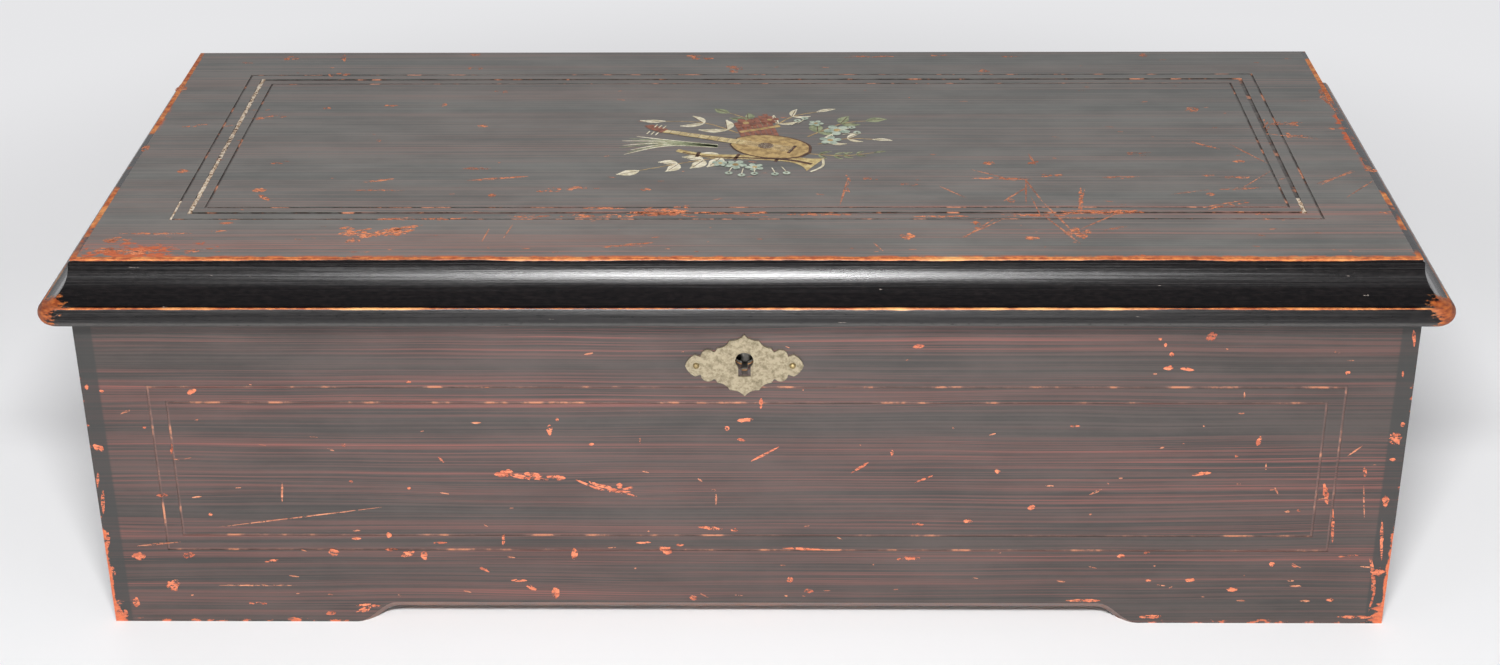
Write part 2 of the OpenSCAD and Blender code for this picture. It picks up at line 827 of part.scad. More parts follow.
comb_tip_y = cyl_y - pin_top_r - tip_gap;
comb_heel_y = comb_tip_y - 72;
comb_x0 = (cyl_x0 + cyl_x1) / 2 - comb_teeth * comb_pitch / 2;
comb_x1 = comb_x0 + comb_teeth * comb_pitch;
comb_top = axis_z + tooth_t / 2;
heel_t = 3.6;
comb_screw_x = [for (i = [0 : 9]) comb_x0 + (comb_x1 - comb_x0) * (i + 0.5) / 10];
comb_screw_y = comb_heel_y + 9;

// Length of tooth i, falling from bass to treble
function tooth_len(i) = bass_len + (treble_len - bass_len) * i / (comb_teeth - 1);

// Outline of the teeth: each slot runs from the tips to the tooth's root
function comb_outline() =
    let (heel = comb_tip_y - bass_len - 4)
    concat(
        [[comb_x1, heel], [comb_x0, heel]],
        [for (i = [0 : comb_teeth - 1], k = [0 : 5])
            let (
                x0 = comb_x0 + i * comb_pitch,
                x1 = x0 + comb_pitch,
                root = comb_tip_y - tooth_len(i),
                neck = comb_tip_y - 3,
                side = comb_slot / 2,
                tip = comb_pitch * 0.28)
            [
                [x0 + side, root], [x0 + side, neck], [x0 + tip, comb_tip_y],
                [x1 - tip, comb_tip_y], [x1 - side, neck], [x1 - side, root]
            ][k]]);

module comb() {
    color([0.62, 0.62, 0.6])
        difference() {
            union() {
                translate([0, 0, comb_top - tooth_t])
                    linear_extrude(tooth_t)
                        polygon(comb_outline());
                box(comb_x0, comb_x1, comb_heel_y, comb_tip_y - bass_len - 3,
                    comb_top - heel_t, comb_top);
            }
            for (x = comb_screw_x)
                rod_z(2, x, comb_screw_y, comb_top - heel_t - 1, comb_top + 1);
        }
}

module comb_base() {
    top = comb_top - heel_t;
    color([0.72, 0.58, 0.32])
        difference() {
            union() {
                box(comb_x0 - 2, comb_x1 + 2, comb_heel_y - 1, comb_heel_y + 20, bed_top, top);
                box(comb_x0 - 2, comb_x1 + 2, comb_heel_y - 1, comb_heel_y + 28, bed_top, bed_top + 8);
            }
            for (x = comb_screw_x)
                rod_z(2, x, comb_screw_y, top - 12, top + 1);
            for (p = base_screws)
                rod_z(1.9, p[0], p[1], bed_top - 1, bed_top + 13);
        }
}

module comb_screws() {
    color([0.25, 0.27, 0.36])
        for (x = comb_screw_x)
            translate([x, comb_screw_y, comb_top])
                screw(1.9, 13, 3.6, 2.4);
}

// ---- Governor frame -------------------------------------------------------------------

governor_x0 = 128;
governor_x1 = 161;
governor_y0 = 43;
governor_y1 = 90;
plate_t = 3;
governor_base_t = 4;
governor_top = bed_top + 46;
first_pivot_r = 1.5;
second_pivot_r = 0.9;
worm_pivot_r = 0.8;

// One upright of the governor frame; hole is the radius of the first wheel's bearing
module governor_plate(x, hole) {
    difference() {
        box(x, x + plate_t, governor_y0 + 1, second_y + 12, bed_top + governor_base_t - 0.1, governor_top);
        rod_x(hole + fit, x - 1, x + plate_t + 1, first_y, first_z);
        rod_x(second_pivot_r + fit, x - 1, x + plate_t + 1, second_y, second_z);
        translate([x - 1, governor_y0 - 1, governor_top - 22])
            rotate([45, 0, 0])
                cube([plate_t + 2, 40, 40]);
    }
}

module governor_frame() {
    color([0.78, 0.65, 0.36])
        difference() {
            union() {
                box(governor_x0, governor_x1, governor_y0, governor_y1, bed_top, bed_top + governor_base_t);
                governor_plate(governor_x0, first_pivot_r);
                governor_plate(governor_x1 - plate_t, 1);
            }
            for (p = frame_screws)
                rod_z(1.9, p[0], p[1], bed_top - 1, bed_top + governor_base_t + 1);
        }
}

worm_low_z = bed_top + 17;
// The governor's upper pivot stands this far under the glazed cover's ledges
cock_drop = 9;
worm_high_z = ledge_z - cock_drop;
cock_y0 = 83;

// The upright that holds both pivots of the endless screw
module governor_cock() {
    color([0.78, 0.65, 0.36])
        difference() {
            union() {
                box(worm_x - 4.5, worm_x + 4.5,
                    cock_y0, cock_y0 + 6, bed_top + governor_base_t, worm_high_z + 5);
                for (z = [worm_low_z - 5, worm_high_z]) {
                    box(worm_x - 4.5, worm_x + 4.5, worm_y, cock_y0 + 1, z, z + 5);
                    rod_z(4.5, worm_x, worm_y, z, z + 5);
                }
            }
            rod_z(worm_pivot_r + fit, worm_x, worm_y, worm_low_z - 6, worm_high_z + 6);
        }
}

// ---- Winding ------------------------------------------------------------------------------

lever_angle = 180 - lever_rest;
lever_x0 = -207;
lever_x1 = -201;
hub_x0 = -209;
hub_x1 = -198.5;
pawl_arm = 22;
pawl_stud_r = 2;
ratchet_root = ratchet_r - 2;
ratchet_step = 360 / ratchet_teeth;
// Direction of the tooth face that the pawl pushes
pawl_face = 122;

// A point at distance r and direction a from the barrel axis, in the Y-Z plane
function winding_point(r, a) = [barrel_y, axis_z] + polar(r, a);

module winding_lever() {
    stud = winding_point(pawl_arm, lever_angle);
    grip = winding_point(lever_len, lever_angle);
    color([0.78, 0.65, 0.36])
        difference() {
            union() {
                rod_x(10, hub_x0, hub_x1, barrel_y, axis_z);
                slab_x(lever_x0, lever_x1)
                    union() {
                        translate([barrel_y, axis_z])
                            rotate(lever_angle)
                                polygon([[0, -6.5], [lever_len, -4], [lever_len, 4], [0, 6.5]]);
                        translate(grip)
                            circle(6.5);
                        translate(stud)
                            circle(6.5);
                    }
                rod_x(3.2, lever_x1 - 1, ratchet_x0 - 0.3, stud[0], stud[1]);
                rod_x(pawl_stud_r, ratchet_x0 - 0.5, ratchet_x1 + 0.4, stud[0], stud[1]);
                rod_x(3.2, ratchet_x1 + 0.3, ratchet_x1 + 1.3, stud[0], stud[1]);
            }
            rod_x(wind_r + fit, hub_x0 - 1, hub_x1 + 1, barrel_y, axis_z);
            rod_x(3, lever_x0 - 1, lever_x1 + 1, grip[0], grip[1]);
        }
}

// The turned grip, with its stem through the lever
module lever_handle() {
    grip = winding_point(lever_len, lever_angle);
    color([0.18, 0.11, 0.08])
        translate([lever_x0, grip[0], grip[1]])
            rotate([0, 90, 0])
                rotate_extrude()
                    polygon(concat(
                        [[0, 0], [3, 0], [3, 6], [4.6, 6], [4.6, 8]],
                        [for (i = [0 : 6]) [4.4 + 1.4 * sin(30 * i), 9 + 3.4 * i]],
                        [[3, 33], [0, 34]]));
}

module lever_pawl() {
    stud = winding_point(pawl_arm, lever_angle);
    color([0.5, 0.5, 0.52])
        difference() {
            slab_x(ratchet_x0, ratchet_x1)
                union() {
                    translate(stud)
                        circle(4.2);
                    polygon([
                        winding_point(ratchet_root + 0.6, pawl_face + 1.2),
                        winding_point(ratchet_r + 0.4, pawl_face + 1.2),
                        winding_point(17.8, pawl_face + 7),
                        winding_point(26, lever_angle - 3),
                        winding_point(18.2, lever_angle + 3),
                        winding_point(ratchet_r + 1, pawl_face + 17)
                    ]);
                }
            rod_x(pawl_stud_r + fit, ratchet_x0 - 1, ratchet_x1 + 1, stud[0], stud[1]);
        }
}

// The click that holds the ratchet wheel between two strokes
module ratchet_click() {
    color([0.5, 0.5, 0.52])
        difference() {
            slab_x(ratchet_x0, ratchet_x1)
                union() {
                    translate([click_y, click_z])
                        circle(4.2);
                    polygon([
                        winding_point(ratchet_r + 0.3, click_angle - 38),
                        winding_point(18, click_angle - 30),
                        winding_point(26, click_angle - 3),
                        winding_point(18.2, click_angle + 3)
                    ]);
                }
            rod_x(pawl_stud_r + fit, ratchet_x0 - 1, ratchet_x1 + 1, click_y, click_z);
        }
}

core_r = 7;
drum_x0 = -147;
drum_x1 = -106;
barrel_wheel_x1 = -100;

module winding_arbor() {
    color([0.6, 0.6, 0.6])
        union() {
            rod_x(wind_r, hub_x0 - 5, barrel_wheel_x1 + 1, barrel_y, axis_z);
            rod_x(7, hub_x0 - 4, hub_x0 - 0.3, barrel_y, axis_z);
            rod_x(6.5, ratchet_x1, ratchet_x1 + 5, barrel_y, axis_z);
            rod_x(core_r, drum_x0 + 3, drum_x1 - 4.5, barrel_y, axis_z);
            rod_x(pivot_hole_r, barrel_wheel_x1, middle_bridge_x + bridge_t, barrel_y, axis_z);
        }
}

module ratchet_wheel() {
    color([0.5, 0.5, 0.52])
        difference() {
            slab_x(ratchet_x0, ratchet_x1)
                translate([barrel_y, axis_z])
                    rotate(pawl_face)
                        polygon([for (k = [0 : ratchet_teeth - 1], tip = [0, 1])
                            polar(tip ? ratchet_r : ratchet_root, ratchet_step * (k + 0.97 * tip))]);
            rod_x(wind_r, ratchet_x0 - 1, ratchet_x1 + 1, barrel_y, axis_z);
        }
}

// ---- Spring barrel ---------------------------------------------------------------------------

drum_wall = 2.5;
drum_floor = 3;

module barrel_drum() {
    color([0.8, 0.67, 0.38])
        difference() {
            rod_x(drum_r, drum_x0, drum_x1, barrel_y, axis_z);
            rod_x(drum_r - drum_wall, drum_x0 - 1, drum_x1 - drum_floor, barrel_y, axis_z);
            rod_x(wind_r + fit, drum_x0, drum_x1 + 1, barrel_y, axis_z);
        }
}

module barrel_cover() {
    color([0.8, 0.67, 0.38])
        difference() {
            union() {
                rod_x(drum_r, drum_x0 - 2, drum_x0, barrel_y, axis_z);
                rod_x(drum_r - drum_wall - 0.05, drum_x0 - 1, drum_x0 + 1.5, barrel_y, axis_z);
            }
            rod_x(wind_r + fit, drum_x0 - 3, drum_x0 + 3, barrel_y, axis_z);
        }
}

module barrel_wheel() {
    color([0.8, 0.67, 0.38])
        difference() {
            gear_x(barrel_m, barrel_teeth, 0, drum_x1, barrel_wheel_x1, barrel_y, axis_z);
            rod_x(wind_r + fit, drum_x1 - 1, barrel_wheel_x1 + 1, barrel_y, axis_z);
        }
}

// A flat spiral band, from r0 to r1 in the given turns
function spiral_band(r0, r1, turns, t) =
    let (n = turns * 20)
    concat(
        [for (i = [0 : n]) polar(r0 + (r1 - r0) * i / n, 18 * i)],
        [for (i = [n : -1 : 0]) polar(r0 + t + (r1 - r0) * i / n, 18 * i)]);

module mainspring() {
    color([0.35, 0.38, 0.5])
        slab_x(drum_x0 + 3, drum_x1 - drum_floor - 1)
            translate([barrel_y, axis_z])
                polygon(spiral_band(core_r + 0.4, drum_r - drum_wall - 1.2, 7, 1));
}

// ---- Cylinder ---------------------------------------------------------------------------------

pinion_x0 = -107;
pinion_x1 = -98;
cap_t = 3;
tube_t = 1.8;
drive_pin_r = 1.2;
drive_pin_arm = 18;
snail_y = cyl_y - snail_offset;

module cylinder_arbor() {
    color([0.62, 0.62, 0.62])
        union() {
            rod_x(pivot_hole_r, pinion_x0 - 1.5, middle_bridge_x + bridge_t + 1, cyl_y, axis_z);
            rod_x(arbor_r, middle_bridge_x + bridge_t + 0.4, cylinder_bridge_x - 0.4, cyl_y, axis_z);
            rod_x(pivot_hole_r, cylinder_bridge_x - 1, cylinder_bridge_x + bridge_t, cyl_y, axis_z);
        }
}

module cylinder_pinion() {
    color([0.5, 0.5, 0.52])
        difference() {
            gear_x(barrel_m, pinion_teeth, 180 + 180 / pinion_teeth, pinion_x0, pinion_x1, cyl_y, axis_z);
            rod_x(pivot_hole_r, pinion_x0 - 1, pinion_x1 + 1, cyl_y, axis_z);
        }
}

// The great wheel, with the driving pin and the stud of the tune snail
module great_wheel() {
    color([0.8, 0.67, 0.38])
        difference() {
            union() {
                gear_x(great_m, great_teeth, first_angle, great_x, great_x + great_t, cyl_y, axis_z);
                rod_x(8, great_x + great_t - 0.5, cylinder_bridge_x - 0.8, cyl_y, axis_z);
                rod_x(drive_pin_r, cyl_x1 - cap_t + 1, great_x + 1, cyl_y + drive_pin_arm, axis_z);
                rod_x(1.5, stud_face_x + 0.8, great_x + 1, snail_y, axis_z);
            }
            rod_x(arbor_r, great_x - 1, cylinder_bridge_x, cyl_y, axis_z);
            for (a = [45 : 90 : 315])
                rod_x(4, great_x - 1, great_x + great_t + 1, cyl_y + 14 * cos(a), axis_z + 14 * sin(a));
        }
}

// A stepped snail, one step for each tune, on a star wheel. The cylinder's stud rests over
// the boundary before the first step, on the side away from the arbor.
module tune_snail() {
    step_a = 360 / tunes;
    color([0.7, 0.68, 0.62])
        difference() {
            union() {
                for (k = [0 : tunes - 1])
                    slab_x(stud_face_x + tune_step * (k + 1) + 0.1, great_x - 2)
                        translate([snail_y, axis_z])
                            polygon(concat(
                                [[0, 0]],
                                arc(0, 0, snail_r, 180 + step_a * k, 180 + step_a * (k + 1), 6)));
                slab_x(great_x - 2, great_x - 1)
                    translate([snail_y, axis_z])
                        polygon([for (k = [0 : 2 * tunes - 1])
                            polar(k % 2 == 0 ? star_r : star_r - 2.6, 180 / tunes * k)]);
            }
            rod_x(1.5 + fit, stud_face_x - 1, great_x + 1, snail_y, axis_z);
        }
}

module music_cylinder() {
    color([0.83, 0.7, 0.4])
        difference() {
            rod_x(cyl_r, cyl_x0, cyl_x1, cyl_y, axis_z);
            rod_x(cyl_r - tube_t, cyl_x0 - 1, cyl_x1 + 1, cyl_y, axis_z);
        }
}

// Two pins for each tooth, spread round the cylinder by the golden angle
module cylinder_pins() {
    golden = 137.508;
    color([0.7, 0.7, 0.68])
        for (i = [0 : comb_teeth - 1], k = [0, 1])
            translate([comb_x0 + comb_pitch * (i + 0.35 + 0.3 * k), cyl_y, axis_z])
                rotate([golden * (2 * i + k), 0, 0])
                    translate([0, 0, cyl_r - 0.8])
                        cylinder(r = pin_r, h = pin_h + 0.8, $fn = 16);
}

// The two ends of the cylinder; the right one has the driving hole and the follower stud
module cylinder_end_caps() {
    color([0.75, 0.6, 0.34])
        difference() {
            union() {
                rod_x(cyl_r - tube_t, cyl_x0, cyl_x0 + cap_t, cyl_y, axis_z);
                rod_x(cyl_r - tube_t, cyl_x1 - cap_t, cyl_x1, cyl_y, axis_z);
                rod_x(0.8, cyl_x1 - 1, stud_face_x, snail_y - stud_ring, axis_z);
            }
            rod_x(arbor_r + fit, cyl_x0 - 1, cyl_x1 + 1, cyl_y, axis_z);
            rod_x(drive_pin_r + fit, cyl_x1 - cap_t - 1, cyl_x1 + 1, cyl_y + drive_pin_arm, axis_z);
        }
}

// Wire of a coil spring along +Z: its rings of points, and the faces that join them
coil_sides = 6;
coil_steps = 18;

function coil_points(r, wire, h, turns) =
    [for (i = [0 : turns * coil_steps], j = [0 : coil_sides - 1])
        let (
            a = 360 * i / coil_steps,
            b = 360 * j / coil_sides,
            d = r + wire * cos(b))
        [d * cos(a), d * sin(a), h * i / (turns * coil_steps) + wire * sin(b)]];

// Faces that join rings of n points each, from the first ring to ring last
function sweep_faces(n, last) =
    concat(
        [[for (j = [0 : n - 1]) j]],
        [for (i = [0 : last - 1], j = [0 : n - 1], half = [0, 1])
            let (
                a = i * n + j,
                b = i * n + (j + 1) % n,
                c = a + n,
                d = b + n)
            half == 0 ? [a, c, b] : [b, c, d]],
        [[for (j = [n - 1 : -1 : 0]) last * n + j]]);

module cylinder_return_spring() {
    turns = 5;
    wire = 0.5;
    spring_x0 = middle_bridge_x + bridge_t + 0.4 + wire;
    color([0.55, 0.57, 0.6])
        translate([spring_x0, cyl_y, axis_z])
            rotate([0, 90, 0])
                polyhedron(
                    points = coil_points(5, wire, cyl_x0 - 0.4 - wire - spring_x0, turns),
                    faces = sweep_faces(coil_sides, turns * coil_steps),
                    convexity = 8);
}

// ---- Governor ------------------------------------------------------------------------------------

first_wheel_x = 134;
worm_wheel_t = 2;

module governor_first_wheel() {
    color([0.8, 0.67, 0.38])
        union() {
            rod_x(first_pivot_r, great_x - 0.5, governor_x1 - plate_t - 0.3, first_y, first_z);
            rod_x(1, governor_x1 - plate_t - 1, governor_x1, first_y, first_z);
            gear_x(great_m, pinion_teeth, first_angle + 180 + 180 / pinion_teeth,
                great_x - 0.5, great_x + great_t + 1, first_y, first_z);
            gear_x(first_m, first_teeth, second_angle, first_wheel_x, first_wheel_x + 2, first_y, first_z);
        }
}

module governor_second_wheel() {
    color([0.8, 0.67, 0.38])
        union() {
            rod_x(second_pivot_r, governor_x0, governor_x1, second_y, second_z);
            rod_x(1.3, governor_x0 + plate_t + 0.3, governor_x1 - plate_t - 0.3, second_y, second_z);
            gear_x(first_m, pinion_teeth, second_angle + 180 + 180 / pinion_teeth,
                first_wheel_x - 0.5, first_wheel_x + 2.5, second_y, second_z);
            gear_x(worm_m, worm_teeth, 180 / worm_teeth, worm_x - worm_wheel_t / 2,
                worm_x + worm_wheel_t / 2, second_y, second_z);
        }
}

// Endless screw: one thread, as rings of points from its lower end to its upper end
thread_root = worm_r - 0.9;
thread_crest = worm_r + 0.55;
thread_steps = 16;
thread_turns = 6;
thread_h = thread_turns * worm_lead;

// Radius at a height above the thread's mid-line
function thread_r(z) =
    max(thread_root, min(thread_crest, thread_crest - (abs(z) - 0.16) * 2.6));

function thread_points() =
    [for (i = [0 : thread_steps * thread_turns], j = [0 : thread_steps - 1])
        let (
            a = 360 * j / thread_steps,
            z = i * worm_lead / thread_steps - thread_h / 2,
            turn = z / worm_lead - (a + 90) / 360,
            r = thread_r((turn - round(turn)) * worm_lead))
        [r * cos(a), r * sin(a), z]];

module endless_screw() {
    low = worm_low_z - second_z;
    high = worm_high_z - second_z;
    color([0.55, 0.55, 0.57])
        translate([worm_x, worm_y, second_z])
            union() {
                rotate_extrude()
                    polygon([
                        [0, low - 4.5], [worm_pivot_r, low - 4.5],
                        [worm_pivot_r, low + 0.3], [1.2, low + 0.3],
                        [1.2, high - 0.3], [worm_pivot_r, high - 0.3],
                        [worm_pivot_r, high + 4.5], [0, high + 4.5]
                    ]);
                polyhedron(
                    points = thread_points(),
                    faces = sweep_faces(thread_steps, thread_steps * thread_turns),
                    convexity = 10);
            }
}

fan_z1 = worm_high_z - 3;
fan_z0 = fan_z1 - 0.495 * (worm_high_z - second_z - thread_h / 2);

// Two thin wings on a sleeve
module fan() {
    color([0.85, 0.75, 0.48])
        difference() {
            union() {
                rod_z(2.3, worm_x, worm_y, fan_z0, fan_z1);
                box(worm_x - 10, worm_x + 10, worm_y - 0.35, worm_y + 0.35, fan_z0 + 1, fan_z1 - 1);
            }
            rod_z(1.2, worm_x, worm_y, fan_z0 - 1, fan_z1 + 1);
        }
}

// ---- Control levers ---------------------------------------------------------------------------------

lever_end_x = 212;

// A flat lever about (lever_x, y): one arm to the right compartment, one to the point tip
module control_lever(y, z, tip) {
    d = tip - [lever_x, y];
    side = [-d[1], d[0]] / norm(d) * 2.6;
    difference() {
        union() {
            translate([0, 0, z])
                linear_extrude(lever_t)
                    union() {
                        translate([lever_x, y])
                            circle(7);
                        translate([lever_x, y - 3.5])
                            square([lever_end_x - lever_x, 7]);
                        translate([lever_end_x, y])
                            circle(4.5);
                        polygon([[lever_x, y] + side, tip + side, tip - side, [lever_x, y] - side]);
                        translate(tip)
                            circle(3);
                    }
            translate([lever_end_x, y, z + 0.5])
                rotate_extrude()
                    polygon([[0, 0], [3, 0], [2.4, 14], [4.2, 17], [4.6, 22], [3.6, 25.5], [0, 27]]);
        }
        rod_z(2.5 + fit, lever_x, y, z - 1, z + lever_t + 1);
    }
}

module stop_lever() {
    color([0.66, 0.64, 0.6])
        control_lever(stop_y, stop_lever_z, [lever_x - 24, stop_y + 56]);
}

module change_lever() {
    color([0.66, 0.64, 0.6])
        control_lever(change_y, change_lever_z, [lever_x - 31, change_y + 29]);
}

// ---- Lid -----------------------------------------------------------------------------------------------

rebate = 4;
link_screws = [[-17, hook_y0], [2, hook_y0]];

nose_u = lip_out - nose_r;

// The lid moulding's cove, from the lip up: [distance outside the case face, height above the underside]
function lid_cove() =
    let (
        lip = [nose_u + nose_r * cos(58), nose_r + nose_r * sin(58)],
        top = [0.6 - arris_in, lid_h - 1.2],
        size = [lip[0] - top[0], top[1] - lip[1]])
    [for (t = [90 : -10 : 0]) [lip[0] - size[0] * cos(t), top[1] - size[1] * sin(t)]];

// The moulding's whole section
function lid_profile() =
    concat(
        [[-wall_t, 0]],
        arc(nose_u, nose_r, nose_r, -90, 0, 6),
        arc(nose_u, nose_r, nose_r, 15, 58, 3),
        lid_cove(),
        [[-arris_in, lid_h - 0.8], [-arris_in, lid_h]],
        [[-rebate, lid_h], [-rebate, lid_h - panel_t], [-wall_t, lid_h - panel_t]]);

// The part of the section that is turned about the lip's corner axis, measured from that axis
function turned_profile() =
    let (axis_u = lip_out - lip_corner_r)
    concat(
        [[0, 0]],
        [for (p = lid_profile()) if (p[0] > axis_u) [p[0] - axis_u, p[1]]],
        [[0, lookup(axis_u, lid_cove())]]);

// Space outside the lip's corner axis; side is -1 on the left and 1 on the right
module corner_space(side) {
    x = side * (half_w + lip_out - lip_corner_r);
    box(min(x, x + side * 20), max(x, x + side * 20),
        lip_y + lip_corner_r - 20, lip_y + lip_corner_r, lid_z - 1, lid_z + lid_h + 1);
}

// Straight mouldings given as children, with the lip turned round the two front corners
module turn_corners() {
    difference() {
        children();
        corner_space(-1);
        corner_space(1);
    }
    for (side = [-1, 1])
        intersection() {
            corner_space(side);
            translate([side * (half_w + lip_out - lip_corner_r), lip_y + lip_corner_r, lid_z])
                rotate_extrude()
                    polygon(turned_profile());
        }
}

// Everything on one side of the two mitre planes: k is 1 before them and -1 behind them
module mitre_waste(k) {
    reach = 60;
    for (side = [-1, 1])
        translate([side * half_w, front_y, lid_z - 5])
            linear_extrude(lid_h + 10)
                polygon([
                    [-side * reach / 2, reach / 2],
                    [side * reach / 2, -reach / 2],
                    [side * k * reach / 2, k * reach / 2]
                ]);
}

module lid_front_moulding() {
    color([0.09, 0.08, 0.08])
        difference() {
            turn_corners()
                slab_x(-half_w - lip_out, half_w + lip_out)
                    polygon([for (p = lid_profile()) [front_y - p[0], lid_z + p[1]]]);
            mitre_waste(1);
            box(-link_half - 0.2, link_half + 0.2,
                in_front - 6.8, in_front + 1, lid_z - 1, lid_z + link_t + 0.1);
            for (p = link_screws)
                rod_z(1.3, p[0], p[1], lid_z - 1, lid_z + 9);
        }
}

module lid_side_mouldings() {
    color([0.09, 0.08, 0.08])
        difference() {
            turn_corners()
                for (side = [-1, 1])
                    translate([0, back_y, 0])
                        rotate([90, 0, 0])
                            linear_extrude(back_y - lip_y)
                                polygon([for (p = lid_profile()) [side * (half_w + p[0]), lid_z + p[1]]]);
            mitre_waste(-1);
        }
}

// A rectangular channel in the top of the lid, inset from the outer lid rectangle
module lid_line(inset, w, depth) {
    ring_frame(
        inset - lid_line_half,
        lid_line_half - inset,
        front_y + lid_line_front + inset,
        back_y - lid_line_back - inset,
        lid_top - depth,
        lid_top + 1,
        w);
}

module lid_panel() {
    color([0.12, 0.1, 0.1])
        difference() {
            box(rebate - half_w, half_w - rebate, front_y + rebate, back_y, panel_z, lid_top);
            lid_line(0, line_w, 0.4);
            lid_line(lid_line_gap, stringing_w, 0.5);
            lid_line(2 * lid_line_gap, line_w, 0.4);
            for (s = [-1, 1])
                rod_y(1.5, s * hinge_x, back_y - 9, back_y + 1, hinge_z + 17);
        }
}

module lid_back_rail() {
    color([0.12, 0.1, 0.1])
        difference() {
            box(-in_x, in_x, in_back, back_y, lid_z, panel_z);
            for (s = [-1, 1], x = [-15, 15])
                rod_y(1.5, s * hinge_x + x, back_y - 9, back_y + 1, hinge_z + 9);
        }
}

module lid_hinge_leaves() {
    color([0.62, 0.52, 0.33])
        for (s = [-1, 1])
            hinge_leaf(s * hinge_x, 1, 1);
}

// Screws of the lid hinge leaves and of the link plate
module lid_screws() {
    color([0.66, 0.58, 0.4]) {
        for (s = [-1, 1], p = hinge_screw_places)
            translate([s * hinge_x + p[0], back_y + leaf_t, hinge_z + p[1]])
                rotate([-90, 0, 0])
                    screw(1.4, 9, 2.9, 0.9);
        for (p = link_screws)
            translate([p[0], p[1], lid_z + 0.9])
                mirror([0, 0, 1])
                    screw(1.2, 7, 2.2, 0.8);
    }
}

// The plate under the lid's front, with the two hooks that the bolt catches
module lock_link_plate() {
    color([0.7, 0.6, 0.38])
        difference() {
            union() {
                box(-link_half, link_half, in_front - 6.6, in_front - 0.2, lid_z, lid_z + link_t);
                for (x = hook_x)
                    difference() {
                        box(x, x + hook_w, hook_y0, hook_y1, notch_z0 - 2.6, lid_z + 0.5);
                        box(x - 1, x + 4.6, hook_y0 - 1, hook_y1 + 1, notch_z0, notch_z1);
                    }
            }
            for (p = link_screws) {
                rod_z(1.3, p[0], p[1], lid_z - 1, lid_z + link_t + 1);
                rod_z(2.3, p[0], p[1], lid_z - 1, lid_z + 0.9);
            }
        }
}

// ---- Glazed cover -------------------------------------------------------------------------

cover_x0 = left_partition_x + partition_t + 0.6;
cover_x1 = right_partition_x - 0.6;
cover_y0 = in_front + 5;
cover_z0 = pivot_z - cover_t / 2;
cover_z1 = pivot_z + cover_t / 2;
glass_lip = 4;
glass_z = cover_z1 - 1 - glass_t;

module cover_frame() {
    g = cover_rail - glass_lip;
    color([0.3, 0.2, 0.13])
        difference() {
            union() {
                box(cover_x0, cover_x1, cover_y0, pivot_y, cover_z0, cover_z1);
                rod_x(cover_t / 2, cover_x0, cover_x1, pivot_y, pivot_z);
            }
            box(cover_x0 + cover_rail, cover_x1 - cover_rail, cover_y0 + cover_rail,
                pivot_y - cover_rail, cover_z0 - 1, cover_z1 + 1);
            box(cover_x0 + g, cover_x1 - g, cover_y0 + g, pivot_y - g, glass_z, cover_z1 + 1);
            rod_x(pivot_r + fit, cover_x0 - 1, cover_x0 + 8, pivot_y, pivot_z);
            rod_x(pivot_r + fit, cover_x1 - 8, cover_x1 + 1, pivot_y, pivot_z);
            rod_z(1.5, 0, cover_y0 + 5, cover_z0 - 1, cover_z1 + 1);
        }
}

module cover_glass() {
    g = cover_rail - glass_lip + 0.3;
    color([0.8, 0.88, 0.86, 0.35])
        box(cover_x0 + g, cover_x1 - g, cover_y0 + g, pivot_y - g, glass_z, glass_z + glass_t);
}

module cover_knob() {
    color([0.9, 0.86, 0.74])
        translate([0, cover_y0 + 5, cover_z1])
            rotate_extrude()
                polygon([
                    [0, -5], [1.5, -5], [1.5, 0], [3, 0], [2.2, 1.6],
                    [3.6, 3.4], [3.8, 5], [2.6, 6.6], [0, 7.2]
                ]);
}

// ---- What is drawn ------------------------------------------------------------------------

front_panel();
back_panel();
left_end();
right_end();
bottom_board();
left_partition();
right_partition();
cover_ledges();
escutcheon();
escutcheon_pins();
lock_case();
lock_bolt();
case_hinge_leaves();
hinge_pins();
case_screws();
bedplate();
bedplate_bolts();
barrel_bridge();
middle_bridge();
cylinder_bridge();
movement_screws();
comb_base();
comb();
comb_screws();
governor_frame();
governor_cock();
winding_lever();
lever_handle();
lever_pawl();
ratchet_click();
winding_arbor();
ratchet_wheel();
barrel_drum();
barrel_cover();
barrel_wheel();
mainspring();
cylinder_arbor();
cylinder_pinion();
great_wheel();
tune_snail();
music_cylinder();
cylinder_pins();
cylinder_end_caps();
cylinder_return_spring();
governor_first_wheel();
governor_second_wheel();
endless_screw();
fan();
stop_lever();
change_lever();
lid_panel();
lid_front_moulding();
lid_side_mouldings();
lid_back_rail();
lid_hinge_leaves();
lid_screws();
lock_link_plate();
cover_frame();
cover_glass();
cover_knob();
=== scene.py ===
"""Looks of a wind-up music box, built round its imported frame.

Lengths in the size fields are millimetres, meshes are in metres, and the frame is the model's own:
+X to the right, +Y to the back and +Z up, with the floor at zero.
"""

import logging
import math
import random
from dataclasses import dataclass, field
from enum import Enum
from typing import Any, Callable, Iterable, Mapping, Optional, Sequence, Union

import bmesh
import bpy
from mathutils import Matrix, Vector


